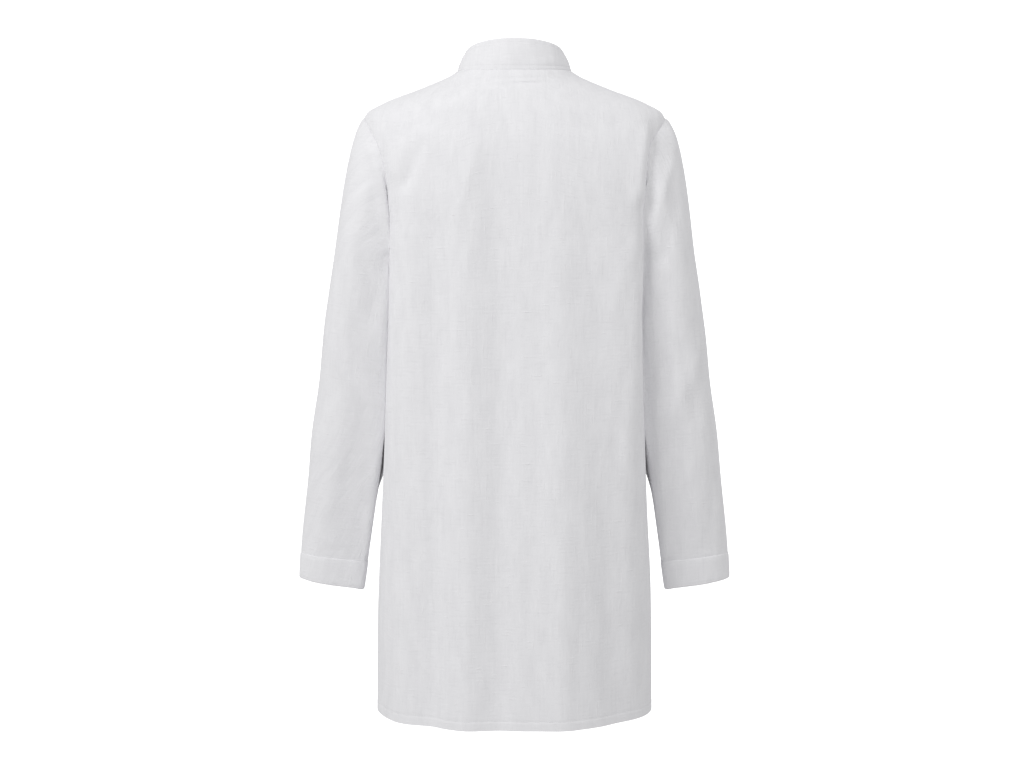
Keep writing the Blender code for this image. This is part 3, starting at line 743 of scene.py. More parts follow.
def collar_points():
    """Outer points of the collar, row by row from the neck seam up."""
    rise = np.array(COLLAR_RISE) / COLLAR_RISE[-1]
    rows = []
    lap = COLLAR_LINEN + COLLAR_OVERLAP_GAP
    for part in rise:
        half_width = mix(BODY[-1].half_width, COLLAR_SIDE, part)
        past = math.asin((PLACKET_HALF / half_width) ** (BODY[-1].roundness / 2.0))
        start = CENTRE_FRONT - 2.0 * HALF_TURN - past
        end = CENTRE_FRONT + past
        angles = collar_angles(start, end)
        low = body_point(np.full(angles.shape, NECK_LEVEL), angles)
        high = collar_top(angles)
        side_on = np.stack([np.cos(angles), np.sin(angles), 0.0 * angles], axis=-1)
        nearest = np.minimum(angles - start, end - angles) * half_width
        short = np.maximum(0.0, COLLAR_CORNER - nearest)
        cut = COLLAR_CORNER - np.sqrt(np.maximum(COLLAR_CORNER ** 2 - short ** 2, 0.0))
        full = np.linalg.norm(high - low, axis=-1)
        height = COLLAR_SEAM_GAP + (full - cut - COLLAR_SEAM_GAP) * part
        run = angles * half_width
        bow = COLLAR_BOW * np.sin(HALF_TURN * height / full)
        over = lap * smooth((angles - CENTRE_FRONT + LAP_START) / LAP_REACH)
        below_top = full - cut - height
        to_stitch = below_top - COLLAR_TOP_STITCH
        wave = ripples(run, 0.0150, 1.8, 37.0, 160.0 * height)
        right = smooth(0.65 - 1.3 * np.cos(angles))
        low_groove = near(height - COLLAR_LOW_STITCH, COLLAR_GROOVE_WIDTH)
        relief = (-COLLAR_LOW_GROOVE * right * low_groove
                  - COLLAR_TOP_GROOVE * near(to_stitch, COLLAR_GROOVE_WIDTH)
                  - COLLAR_EDGE_DIP * near(below_top, COLLAR_EDGE_REACH)
                  - COLLAR_SEAM_DIP * right * near(height, COLLAR_SEAM_REACH)
                  - dent_depth(angles, height)
                  + COLLAR_RIPPLE * wave * near(to_stitch, COLLAR_RIPPLE_REACH)
                  + COLLAR_WAVE * np.sin(run / 0.0082 + 0.8) * np.sin(HALF_TURN * part))
        out = bow + over + relief
        rows.append(low + (high - low) * (height / full)[:, None] + side_on * out[:, None])
    under = rows[0] - side_on * COLLAR_TUCK + np.array([0.0, 0.0, -COLLAR_TUCK])
    return np.array([under] + rows)


collar_grid = collar_points()
collar_along = lengths_along(collar_grid)
centre_back = COLLAR_FRONT_COLUMNS + COLLAR_BACK_COLUMNS // 2
collar_flat = np.stack([collar_along - collar_along[:, [centre_back]],
                        lengths_up(collar_grid)], axis=-1)
collar_cloth = lay_cloth("collar_cloth", collar_grid, collar_flat, COLLAR_LINEN)
finish_piece(collar_cloth, ["collar"])

# %% [markdown]
# The form of an arm
#
# A sleeve has two parts.  From the underarm down it is a tube, given by another short table.
# Above that it is the sleeve's head, whose rings run on smooth curves from the armhole to the
# first ring of the arm.  A point of the armhole belongs to each angle round the arm.

# %% Sleeve tables
ArmSection = namedtuple("ArmSection", "height centre forward half_width half_depth tilt")
ARM = [
    ArmSection(-0.262, 0.2090, 0.004, 0.0370, 0.068, 12.0),
    ArmSection(-0.310, 0.2122, 0.006, 0.0410, 0.064, 6.0),
    ArmSection(-0.370, 0.2160, 0.010, 0.0455, 0.060, 5.0),
    ArmSection(-0.430, 0.2192, 0.014, 0.0485, 0.056, 5.0),
    ArmSection(-0.500, 0.2293, 0.019, 0.0490, 0.051, 6.0),
    ArmSection(-0.570, 0.2376, 0.025, 0.0475, 0.045, 6.5),
    ArmSection(-0.630, 0.2454, 0.031, 0.0462, 0.041, 6.5),
    ArmSection(-0.664, 0.2492, 0.034, 0.0452, 0.039, 6.5),
]
ARM_ROUNDNESS = 2.2
SLEEVE_CLEARANCE = 0.0002
SEAM_GAP = 0.0001
PRESSED_ROUNDNESS = 5.0
HANGING_ROUNDNESS = 6.0
PRESSED_UNTIL = -0.47
PRESSED_FADE = 0.12
PRESSED_TURN = 1.6
INNER_SLANT = 0.11
SLANT_TURN = 2.0
SLEEVE_UNEVEN = 1.4
SLEEVE_UNEVEN_STRETCH = 0.8
CAP_SLOPE = {1: np.array([0.75, 0.0, -0.66]), -1: np.array([0.90, 0.0, -0.44])}
UNDER_SLOPE = np.array([0.12, 0.0, -0.99])
ROUND_SLOPE = {1: 0.05, -1: 0.20}
CAP_LEAVE = 0.45
CAP_ARRIVE = 0.60
UNDER_LEAVE = 1.0
UNDER_ARRIVE = 0.9
SLEEVE_FOLDS = {
    1: [
        Fold(-0.250, 0.122, -0.135, 0.050, 0.013, 0.0030, 0.0020),
        Fold(-0.460, 0.105, -0.330, 0.020, 0.016, 0.0030, 0.0010),
        Fold(-0.440, -0.105, -0.350, -0.030, 0.015, 0.0028, 0.0012),
        Fold(-0.650, 0.030, -0.520, 0.045, 0.011, -0.0024, -0.0010),
    ],
    -1: [
        Fold(-0.240, 0.118, -0.125, 0.055, 0.012, 0.0034, 0.0024),
        Fold(-0.480, 0.100, -0.350, 0.025, 0.016, 0.0028, 0.0010),
        Fold(-0.430, -0.100, -0.340, -0.035, 0.015, 0.0028, 0.0012),
        Fold(-0.650, 0.050, -0.530, 0.040, 0.011, -0.0022, -0.0010),
    ],
}


def body_side_limit(y, z, top_level=UNDERARM_LEVEL):
    """How far out the body's side reaches beside each place, up to a level."""
    section = table_at(BODY, np.minimum(level_at_height(z), top_level))
    depth = np.where(y > 0.0, section.back, section.front)
    ratio = np.minimum(1.0, np.abs(y) / depth)
    return section.half_width * (1.0 - ratio ** section.roundness) ** (1.0 / section.roundness)


def arm_point(level, angle, side):
    """Points of a sleeve below the underarm.  The angle is 0 on the outer side."""
    section = table_at(ARM, level)
    pressed = 1.0 - smooth((PRESSED_UNTIL - section.height) / PRESSED_FADE)
    inner = smooth(-PRESSED_TURN * np.cos(angle)) * pressed
    inner_roundness = mix(HANGING_ROUNDNESS, PRESSED_ROUNDNESS, pressed)
    power = 2.0 / mix(ARM_ROUNDNESS, inner_roundness, smooth(-np.cos(angle)))
    across = section.half_width * signed_power(np.cos(angle), power)
    behind = section.half_depth * signed_power(np.sin(angle), power)
    tilt = np.radians(section.tilt)
    slant = INNER_SLANT * smooth(-SLANT_TURN * np.cos(angle)) * (1.0 - pressed)
    x = section.centre + across * np.cos(tilt) - slant * behind
    y = behind - section.forward
    z = section.height + across * np.sin(tilt)
    x = x - inner * np.maximum(x - body_side_limit(y, z) - SLEEVE_CLEARANCE, 0.0)
    round_the_arm = np.where(angle <= HALF_TURN, angle, angle - 2.0 * HALF_TURN)
    radius = 0.5 * (section.half_width + section.half_depth)
    places = round_the_arm * radius
    push = fold_push(SLEEVE_FOLDS[side], places, z)
    push = push + SLEEVE_UNEVEN * unevenness(SLEEVE_UNEVEN_STRETCH * places * side, z)
    x = x + push * np.cos(angle)
    y = y + push * np.sin(angle)
    x = np.maximum(x, body_side_limit(y, z) + SLEEVE_CLEARANCE)
    return np.stack([side * x, y, z], axis=-1)


print("levels of an arm:", len(ARM))

# %% [markdown]
# The two sleeves
#
# The rings are spaced every few millimetres and lie closer at the armhole and at the cuff, where
# the seams are.

# %% Sleeves
SLEEVE_COLUMNS = 112
CAP_PARTS = np.concatenate([[0.0, 0.008, 0.018, 0.032, 0.050, 0.072],
                            np.linspace(0.1, 1.0, 34)[:-1]])
CLEAR_AFTER = 0.1
PRESS_AFTER = 0.15
PRESS_BEFORE_END = 0.3
EASE = 0.00045
EASE_PLACE = 0.004
EASE_REACH = 0.0075
GATHERS = 0.00022
GATHERS_PLACE = 0.004
GATHERS_REACH = 0.012
CREASE_FADE = 0.012
FRONT_SQUEEZE = 0.985
FRONT_SHIFT = 0.004
FRONT_DROP = 0.012
ARM_LEVELS = np.concatenate([np.linspace(0.0, 6.90, 84), [6.93, 6.955, 6.975, 6.99, 7.0]])


def sleeve_points(side):
    """Outer points of a sleeve, ring by ring from the armhole down, and its seams' distances."""
    angle = np.linspace(0.0, 2.0 * HALF_TURN, SLEEVE_COLUMNS + 1)
    top = 0.5 * (1.0 + np.cos(angle))
    level = mix(UNDERARM_LEVEL, SHOULDER_LEVEL, top)
    behind = angle <= HALF_TURN
    widest = np.where(behind, ARMHOLE_BACK, ARMHOLE_FRONT)
    round_body = np.where(behind, 1.0, -1.0) * armhole_angle(level, widest)
    if side < 0:
        round_body = HALF_TURN - round_body
    hole, _, outward = body_frame(level, round_body)
    leave = UNDER_SLOPE + (CAP_SLOPE[side] - UNDER_SLOPE) * top[:, None]
    leave[:, 0] *= side
    leave[:, 1] = ROUND_SLOPE[side] * np.sin(angle)
    leave = unit(leave)
    start = hole + leave * SEAM_GAP + outward * (SEAM_GAP * (1.0 - top) * 1.5)[:, None]
    end = arm_point(np.zeros(angle.shape), angle, side)
    down = unit(arm_point(np.full(angle.shape, 0.3), angle, side) - end)
    reach = np.linalg.norm(end - start, axis=-1)
    leave = leave * (reach * mix(UNDER_LEAVE, CAP_LEAVE, top))[:, None]
    arrive = down * (reach * mix(UNDER_ARRIVE, CAP_ARRIVE, top))[:, None]
    inner = smooth(0.2 - 2.0 * np.cos(angle))
    rings = []
    for t in CAP_PARTS:
        t2 = t * t
        t3 = t2 * t
        ring = (start * (2 * t3 - 3 * t2 + 1) + leave * (t3 - 2 * t2 + t)
                + end * (3 * t2 - 2 * t3) + arrive * (t3 - t2))
        limit = body_side_limit(ring[:, 1], ring[:, 2], SHOULDER_LEVEL - 1.0)
        beyond = side * ring[:, 0] - limit - SLEEVE_CLEARANCE
        ring[:, 0] += side * np.maximum(-beyond, 0.0) * smooth(t / CLEAR_AFTER)
        pressing = inner * smooth(t / PRESS_AFTER) * smooth((1.0 - t) / PRESS_BEFORE_END)
        ring[:, 0] -= side * np.maximum(beyond, 0.0) * pressing
        rings.append(ring)
    for arm_level in ARM_LEVELS:
        rings.append(arm_point(np.full(angle.shape, arm_level), angle, side))
    return np.array(rings)


def tube_normals(points, side):
    """Outward directions of a tube of rings whose last point meets the first."""
    ring = points[:, :-1]
    around = np.roll(ring, -1, axis=1) - np.roll(ring, 1, axis=1)
    along = np.gradient(ring, axis=0)
    normals = unit(np.cross(along, around)) * side
    return np.concatenate([normals, normals[:, :1]], axis=1)


def lay_tube(name, points, relief, side, thickness):
    """Cloth on a tube of rings, moved out by a relief, as one closed round piece."""
    normals = tube_normals(points, side)
    points = points + normals * relief[..., None]
    points = turn_in(points, normals)
    points = turn_in(points[::-1], normals[::-1])[::-1]
    points[:, -1] = points[:, 0]
    if side > 0:
        points = points[:, ::-1]
    points = points[::-1]
    flat = np.stack([lengths_along(points), lengths_up(points)], axis=-1)
    return lay_cloth(name, points, flat, thickness, closed=True), points


def sleeve_relief(points, side):
    """Seam dips, ease puckers round the sleeve's head, gathers above the cuff and creases."""
    down = lengths_up(points)
    run = lengths_along(points[:1])
    left = down[-1:] - down
    puckers = EASE * ripples(run, 0.0135, 2.0, 19.0) * near(down - EASE_PLACE, EASE_REACH)
    creases = ripples(run, 0.021, 2.3, 27.0, 14.0 * left)
    above_cuff = GATHERS * creases * near(left - GATHERS_PLACE, GATHERS_REACH)
    dips = -SEAM_DIP * (near(down, SEAM_REACH) + near(left, SEAM_REACH))
    across, height = points[..., 0], points[..., 2]
    facing = 1.7 * tube_normals(points, side)[..., 1]
    behind = fold_push(SLEEVE_BACK_CREASES + ARMHOLE_TROUGHS, across, height)
    front = fold_push(SLEEVE_BACK_CREASES, across * FRONT_SQUEEZE + FRONT_SHIFT,
                      height - FRONT_DROP)
    pushes = behind * smooth(facing) + front * smooth(-facing)
    fade = smooth(left / CREASE_FADE) * smooth(down / CREASE_FADE)
    return puckers + above_cuff + dips + pushes * fade


SIDES = ((1, "left"), (-1, "right"))
sleeve_cloths = {}
for side, word in SIDES:
    rings = sleeve_points(side)
    relief = sleeve_relief(rings, side)
    cloth, grid = lay_tube("sleeve_%s_cloth" % word, rings, relief, side, LINEN)
    sleeve_cloths[side] = cloth
    finish_piece(cloth, ["sleeve_" + word])

# %% [markdown]
# The cuffs
#
# A cuff is a straight band of double cloth.  Its lower edge is a fold, so it is rounded, and a
# row of stitches runs just inside each edge.

# %% Cuffs
CUFF_HEIGHT = 0.0345
CUFF_SLANT = 0.07
CUFF_TAPER = 0.97
CUFF_LINEN = 0.0018
CUFF_TOP_GROOVE = 0.00018
CUFF_SEAM_DIP = 0.00030
CUFF_SEAM_REACH = 0.0014
CUFF_EDGE_DIP = 0.00035
CUFF_EDGE_REACH = 0.0007
CUFF_DROPS = [0.0001, 0.0008, 0.0016, 0.0024, 0.0032, 0.0045, 0.0070, 0.0100, 0.0130, 0.0160,
              0.0190, 0.0220, 0.0255, 0.0280, 0.0300, 0.0311, 0.0320, 0.0328, 0.0335, 0.0341,
              0.0345]


def cuff_points(side, drops):
    """Outer points of a cuff, ring by ring, at distances down from its seam."""
    angle = np.linspace(0.0, 2.0 * HALF_TURN, SLEEVE_COLUMNS + 1)
    above, section = ARM[-2:]
    axis = unit(np.array([side * (section.centre - above.centre),
                          above.forward - section.forward,
                          section.height - above.height]))
    base = arm_point(np.full(angle.shape, float(len(ARM) - 1)), angle, side)
    middle = base[:-1].mean(axis=0)
    rings = []
    for along in drops:
        taper = mix(1.0, CUFF_TAPER, along / CUFF_HEIGHT)
        slanted = along * (1.0 - CUFF_SLANT * np.cos(angle))
        rings.append(middle + (base - middle) * taper + axis * slanted[:, None])
    return np.array(rings)


def cuff_relief(points):
    """Pressed edges, stitch grooves and slight ripples between them."""
    down = lengths_up(points)
    run = lengths_along(points[:1])
    left = down[-1:] - down
    return (-CUFF_TOP_GROOVE * near(down - EDGE_STITCH, GROOVE_WIDTH)
            - GROOVE * near(left - EDGE_STITCH, GROOVE_WIDTH)
            - CUFF_EDGE_DIP * near(left, CUFF_EDGE_REACH)
            - CUFF_SEAM_DIP * near(down, CUFF_SEAM_REACH)
            + BAND_RIPPLE * ripples(run, 0.0160, 2.2, 31.0, 70.0 * down))


cuff_cloths = {}
for side, word in SIDES:
    rings = cuff_points(side, CUFF_DROPS)
    cloth, grid = lay_tube("cuff_%s_cloth" % word, rings, cuff_relief(rings), side, CUFF_LINEN)
    cuff_cloths[side] = cloth
    finish_piece(cloth, ["cuff_" + word])

# %% [markdown]
# Stitches
#
# A sewing machine leaves a row of short stitches, each a little capsule of thread whose ends dive
# into the cloth.  One stitch is modelled from a ball, and a copy of it is set at every step along
# the hem, the cuffs, the collar and the front band, turned to follow the cloth.

# %% Rows of stitches
STITCH_LENGTH = 0.0024
STITCH_STEP = 0.0030
STITCH_WIDTH = 0.00036
STITCH_HEIGHT = 0.00022
STITCH_SINK = 0.00012
HEM_STITCH_END = 0.10
HEM_STITCH_PLACES = 900

let_go()
bpy.ops.mesh.primitive_uv_sphere_add(segments=6, ring_count=4, radius=0.5)
one_stitch = bpy.context.active_object
bpy.ops.transform.resize(value=(STITCH_WIDTH, STITCH_HEIGHT, STITCH_LENGTH))
bpy.ops.object.transform_apply(scale=True)
STITCH_POINTS = np.array([tuple(point.co) for point in one_stitch.data.vertices])
STITCH_FACES = [tuple(face.vertices) for face in one_stitch.data.polygons]
bpy.ops.object.delete()


def even_steps(path, outward, step):
    """Places at even steps along a path, with the way along it and the way out of the cloth."""
    length = np.concatenate([[0.0], np.cumsum(np.linalg.norm(np.diff(path, axis=0), axis=1))])
    places = np.arange(0.5 * step, length[-1], step)
    rows = [np.interp(places, length, column) for column in (*path.T, *outward.T)]
    middle = np.stack(rows[:3], axis=-1)
    along = unit(np.gradient(middle, axis=0))
    return middle, along, unit(np.stack(rows[3:], axis=-1))


def sew(name, paths):
    """One piece of thread with a stitch at every step along each path."""
    points = []
    faces = []
    for path, outward in paths:
        for middle, along, out in zip(*even_steps(path, outward, STITCH_STEP)):
            across = np.cross(out, along)
            turn = np.stack([across, out, along])
            start = len(points) * len(STITCH_POINTS)
            points.append(middle - out * STITCH_SINK + STITCH_POINTS @ turn)
            faces += [tuple(start + corner for corner in face) for face in STITCH_FACES]
    mesh = bpy.data.meshes.new(name)
    mesh.from_pydata(np.concatenate(points).tolist(), [], faces)
    thread = bpy.data.objects.new(name, mesh)
    bpy.context.scene.collection.objects.link(thread)
    pick(thread)
    bpy.ops.object.mode_set(mode='EDIT')
    bpy.ops.mesh.select_all(action='SELECT')
    bpy.ops.mesh.normals_make_consistent(inside=False)
    bpy.ops.object.mode_set(mode='OBJECT')
    bpy.ops.object.shade_smooth()
    print(name, "stitches:", len(points))
    return thread


STITCHES = []
hem_angles = CENTRE_FRONT + np.linspace(
    HEM_STITCH_END, 2.0 * HALF_TURN - HEM_STITCH_END, HEM_STITCH_PLACES)
hem_angles = direction_of(hem_angles, BODY[0].roundness / 2.0) % (2.0 * HALF_TURN)
hem_level = float(level_at_height(BODY[0].height + HEM_DEPTH))
hem_path, _, hem_out = body_frame(np.full(hem_angles.shape, hem_level), hem_angles)
STITCHES.append(sew("hem_stitches", [(hem_path, hem_out)]))

band_rows = []
for across in (EDGE_STITCH - PLACKET_HALF, PLACKET_HALF - EDGE_STITCH):
    row, _, out = body_frame(band_levels, angle_at_front(band_levels, across))
    band_rows.append((row + out * PLACKET_LIFT, out))
STITCHES.append(sew("band_stitches", band_rows))

collar_rows = []
low_part = (COLLAR_RISE.index(0.0045) + COLLAR_RISE.index(0.0055)) / 2.0
top_part = COLLAR_RISE.index(0.0272)
for part in (low_part, top_part):
    low_row = int(part) + 1
    row = mix(collar_grid[low_row], collar_grid[low_row + 1], part - int(part))
    out = unit(row * np.array([1.0, 1.0, 0.0]))
    collar_rows.append((row + out * STITCH_SINK, out))
STITCHES.append(sew("collar_stitches", collar_rows))

for side, word in SIDES:
    cuff_rows = []
    for ring in cuff_points(side, (EDGE_STITCH, CUFF_HEIGHT - EDGE_STITCH)):
        cuff_rows.append((ring, unit(ring - ring[:-1].mean(axis=0))))
    STITCHES.append(sew("cuff_%s_stitches" % word, cuff_rows))
for thread in STITCHES:
    finish_piece(thread)

# %% [markdown]
# Buttons
#
# The buttons are turned from shell, with a sunk face, a rounded rim and four holes.  One is made
# from a short cylinder, and each of the nine is a copy of it, moved to its own place.  The thread
# that holds it crosses its face in two short bars, and a buttonhole bound in thread shows under
# it.

# %% Buttons
BUTTON_RADIUS = 0.0055
BUTTON_THICKNESS = 0.0024
BUTTON_EDGE = 0.0019
BUTTON_DISH = 0.0005
BUTTON_ROUND = 0.0005
BUTTON_HOLE = 0.00062
BUTTON_HOLE_REACH = 0.00115
BUTTON_LIFT = 0.0031
BUTTON_TOP = -0.108
BUTTON_SPACING = 0.088
BUTTON_COUNT = 8
BUTTONHOLE_LENGTH = 0.0142
BUTTONHOLE_WIDTH = 0.0026
BINDING = 0.0005
BAR_SIZE = (1.1 * BUTTON_HOLE, 3.4 * BUTTON_HOLE_REACH, 1.6 * BUTTON_HOLE)


def one_button():
    """A shell button at the origin that faces up."""
    let_go()
    bpy.ops.mesh.primitive_cylinder_add(vertices=48, radius=BUTTON_RADIUS, depth=BUTTON_THICKNESS)
    button = bpy.context.active_object
    bpy.ops.object.mode_set(mode='EDIT')
    bpy.ops.mesh.select_all(action='DESELECT')
    shape = bmesh.from_edit_mesh(button.data)
    for face in shape.faces:
        face.select = face.normal.z > 0.9
    bmesh.update_edit_mesh(button.data)
    bpy.ops.mesh.inset(thickness=BUTTON_EDGE)
    bpy.ops.mesh.extrude_region_move(TRANSFORM_OT_translate={"value": (0.0, 0.0, -BUTTON_DISH)})
    bpy.ops.object.mode_set(mode='OBJECT')
    rim = button.modifiers.new("rounded_rim", 'BEVEL')
    rim.width = BUTTON_ROUND
    rim.segments = 3
    rim.limit_method = 'ANGLE'
    for across, along in ((1, 1), (1, -1), (-1, 1), (-1, -1)):
        let_go()
        bpy.ops.mesh.primitive_cylinder_add(
            vertices=16, radius=BUTTON_HOLE, depth=4.0 * BUTTON_THICKNESS,
            location=(across * BUTTON_HOLE_REACH, along * BUTTON_HOLE_REACH, 0.0))
        drill = bpy.context.active_object
        hole = button.modifiers.new("hole", 'BOOLEAN')
        hole.operation = 'DIFFERENCE'
        hole.object = drill
        apply_all(button)
        pick(drill)
        bpy.ops.object.delete()
    pick(button)
    bpy.ops.object.shade_smooth_by_angle(angle=SHARP_EDGE)
    return button


def one_fastening():
    """Two bars of thread across a button's holes and the bound buttonhole under it."""
    let_go()
    bpy.ops.mesh.primitive_torus_add(major_radius=0.5, minor_radius=BINDING / BUTTONHOLE_WIDTH,
                                     major_segments=40, minor_segments=8)
    binding = bpy.context.active_object
    bpy.ops.transform.resize(value=(BUTTONHOLE_WIDTH, BUTTONHOLE_LENGTH, BUTTONHOLE_WIDTH))
    bpy.ops.transform.translate(value=(0.0, 0.0, -BUTTON_LIFT + PLACKET_LIFT + 0.5 * BINDING))
    parts = [binding]
    for across in (-BUTTON_HOLE_REACH, BUTTON_HOLE_REACH):
        let_go()
        bpy.ops.mesh.primitive_uv_sphere_add(segments=12, ring_count=8, radius=0.5)
        bar = bpy.context.active_object
        bpy.ops.transform.resize(value=BAR_SIZE)
        bpy.ops.transform.translate(value=(across, 0.0, 0.5 * BUTTON_THICKNESS - BUTTON_DISH))
        parts.append(bar)
    let_go()
    for part in parts:
        part.select_set(True)
    bpy.context.view_layer.objects.active = binding
    bpy.ops.object.join()
    bpy.ops.object.transform_apply(location=True, rotation=True, scale=True)
    bpy.ops.object.shade_smooth()
    return binding


def copy_to(model, name, place, outward):
    """A copy of a model with its own mesh, turned to face outward at its place."""
    mesh = model.data.copy()
    mesh.name = name
    turn = Vector(outward).to_track_quat('Z', 'Y').to_matrix().to_4x4()
    mesh.transform(Matrix.Translation(Vector(place)) @ turn)
    copy = bpy.data.objects.new(name, mesh)
    bpy.context.scene.collection.objects.link(copy)
    return copy


button_model = one_button()
fastening_model = one_fastening()
front_heights = body_point(DENSE_LEVELS, np.full(DENSE_LEVELS.shape, CENTRE_FRONT))[:, 2]
button_places = []
for i in range(BUTTON_COUNT):
    level = np.interp(BUTTON_TOP - BUTTON_SPACING * i, front_heights, DENSE_LEVELS)
    point, _, outward = body_frame(level, CENTRE_FRONT)
    button_places.append(("button_%d" % (i + 1), point + outward * BUTTON_LIFT, outward))
collar_low = body_point(NECK_LEVEL, CENTRE_FRONT)
collar_high = collar_top(CENTRE_FRONT)
slope = unit(collar_high - collar_low)
collar_out = unit(np.array([0.0, -slope[2], slope[1]]))
collar_face = 0.5 * (collar_low + collar_high) + np.array(
    [0.0, -(COLLAR_LINEN + COLLAR_OVERLAP_GAP + COLLAR_BOW), 0.0])
button_places.append(("button_collar", collar_face + collar_out * (BUTTON_LIFT - PLACKET_LIFT),
                      collar_out))
buttons = []
fastenings = []
for node, place, outward in button_places:
    button = copy_to(button_model, node + "_shell", place, outward)
    finish_piece(button, [node])
    buttons.append(button)
    fastening = copy_to(fastening_model, node + "_thread", place, outward)
    finish_piece(fastening)
    fastenings.append(fastening)
let_go()
button_model.select_set(True)
fastening_model.select_set(True)
bpy.ops.object.delete()

# %% [markdown]
# Linen
#
# Linen yarn is uneven, thick in places and thin in others, so the cloth shows long, fine slubs
# both ways.  A node group turns the flat cloth's own map into three masks: the slubs, the fine
# threads, and a soft cloud where the whole cloth is a little fuller or thinner.  Each material
# then colours and bumps itself with them.

# %% The weave as a node group
SLUB_GAIN = 32.0
THIN_PLACES = 0.13


def maths(tree, kind, a, b, clamp=False):
    """A maths node whose inputs are sockets or numbers, and its output socket."""
    node = tree.nodes.new('ShaderNodeMath')
    node.operation = kind
    node.use_clamp = clamp
    for socket, value in zip(node.inputs, (a, b)):
        if isinstance(value, bpy.types.NodeSocket):
            tree.links.new(value, socket)
        else:
            socket.default_value = value
    return node.outputs[0]


def stretched_noise(tree, vector, across, along, detail, roughness):
    """Noise that is long one way, with the number of its cells to a metre each way."""
    scale = tree.nodes.new('ShaderNodeVectorMath')
    scale.operation = 'MULTIPLY'
    tree.links.new(vector, scale.inputs[0])
    scale.inputs[1].default_value = (across, along, 1.0)
    noise = tree.nodes.new('ShaderNodeTexNoise')
    noise.inputs["Scale"].default_value = 1.0
    noise.inputs["Detail"].default_value = detail
    noise.inputs["Roughness"].default_value = roughness
    tree.links.new(scale.outputs[0], noise.inputs["Vector"])
    return noise.outputs[0]


def sparse(tree, noise, gain):
    """Cube a noise about its middle, so that only its few strongest places are left."""
    away = maths(tree, 'SUBTRACT', noise, 0.5)
    square = maths(tree, 'MULTIPLY', away, away)
    cube = maths(tree, 'MULTIPLY', maths(tree, 'MULTIPLY', square, away), gain)
    return maths(tree, 'MAXIMUM', cube, -THIN_PLACES)


def make_weave_group():
    """Slubs, threads and cloud of a linen, from the flat cloth's map in metres."""
    group = bpy.data.node_groups.new("linen_weave", 'ShaderNodeTree')
    group.interface.new_socket(
        name="Flat cloth", in_out='INPUT', socket_type='NodeSocketVector')
    for title in ("Slubs", "Threads", "Cloud"):
        group.interface.new_socket(name=title, in_out='OUTPUT', socket_type='NodeSocketFloat')
    start = group.nodes.new('NodeGroupInput')
    end = group.nodes.new('NodeGroupOutput')
    flat = start.outputs["Flat cloth"]
    warp = stretched_noise(group, flat, 330.0, 21.0, 2.0, 0.6)
    weft = stretched_noise(group, flat, 46.0, 380.0, 2.0, 0.6)
    slubs = maths(group, 'ADD', sparse(group, warp, SLUB_GAIN), sparse(group, weft, SLUB_GAIN))
    group.links.new(maths(group, 'ADD', slubs, 0.5, clamp=True), end.inputs["Slubs"])
    fine_warp = stretched_noise(group, flat, 1700.0, 120.0, 1.0, 0.5)
    fine_weft = stretched_noise(group, flat, 120.0, 1700.0, 1.0, 0.5)
    threads = maths(group, 'MULTIPLY', maths(group, 'ADD', fine_warp, fine_weft), 0.5)
    group.links.new(threads, end.inputs["Threads"])
    cloud = stretched_noise(group, flat, 64.0, 20.0, 3.0, 0.6)
    group.links.new(cloud, end.inputs["Cloud"])
    return group


WEAVE = make_weave_group()
print("masks of the weave:", [socket.name for socket in WEAVE.interface.items_tree])

# %% [markdown]
# Linen materials
#
# The three linens differ only in how light they are.  The sleeves' linen is the body's linen made
# a
# shade darker: this is painted shade, for the sleeves that hang turned away from the key lamp and
# in the body's shadow.  The doubled bands are a shade lighter, as doubled cloth is.  Every
# material takes its colour from a mask, between a dark and a light shade, and its bump from a
# height.

# %% Linen materials
LINEN_SURFACE = {"Roughness": 0.88, "Sheen Weight": 0.12, "Sheen Roughness": 0.6,
                 "Specular IOR Level": 0.22}
THREAD_BUMP = 0.10
CLOUD_BUMP = 0.9
LINEN_BUMP = 0.001


def new_material(name, surface):
    """A material with these values of its surface, and its tree and shader."""
    material = bpy.data.materials.new(name)
    material.use_nodes = True
    shader = material.node_tree.nodes["Principled BSDF"]
    for title, value in surface.items():
        shader.inputs[title].default_value = value
    return material, material.node_tree, shader


def colour_and_bump(tree, shader, mask, ends, colours, height, bump_height):
    """Colour a shader between two shades where a mask runs between two ends, and bump it."""
    ramp = tree.nodes.new('ShaderNodeValToRGB')
    for element, end, colour in zip(ramp.color_ramp.elements, ends, colours):
        element.position = end
        element.color = (*colour, 1.0)
    tree.links.new(mask, ramp.inputs["Fac"])
    tree.links.new(ramp.outputs["Color"], shader.inputs["Base Color"])
    bump = tree.nodes.new('ShaderNodeBump')
    bump.inputs["Distance"].default_value = bump_height
    tree.links.new(height, bump.inputs["Height"])
    tree.links.new(bump.outputs["Normal"], shader.inputs["Normal"])


def linen(name, dark, light, slub_bump):
    """A matt linen whose colour and height follow its slubs, threads and cloud."""
    material, tree, shader = new_material(name, LINEN_SURFACE)
    flat = tree.nodes.new('ShaderNodeUVMap')
    flat.uv_map = "flat_cloth"
    weave = tree.nodes.new('ShaderNodeGroup')
    weave.node_tree = WEAVE
    tree.links.new(flat.outputs["UV"], weave.inputs["Flat cloth"])
    shade = maths(tree, 'ADD', weave.outputs["Slubs"],
                  maths(tree, 'SUBTRACT', weave.outputs["Cloud"], 0.5))
    height = maths(tree, 'ADD', maths(tree, 'MULTIPLY', weave.outputs["Slubs"], slub_bump),
                   maths(tree, 'MULTIPLY', weave.outputs["Threads"], THREAD_BUMP))
    height = maths(tree, 'ADD', height,
                   maths(tree, 'MULTIPLY', weave.outputs["Cloud"], CLOUD_BUMP))
    colour_and_bump(tree, shader, shade, (0.25, 0.75), (dark, light), height, LINEN_BUMP)
    return material


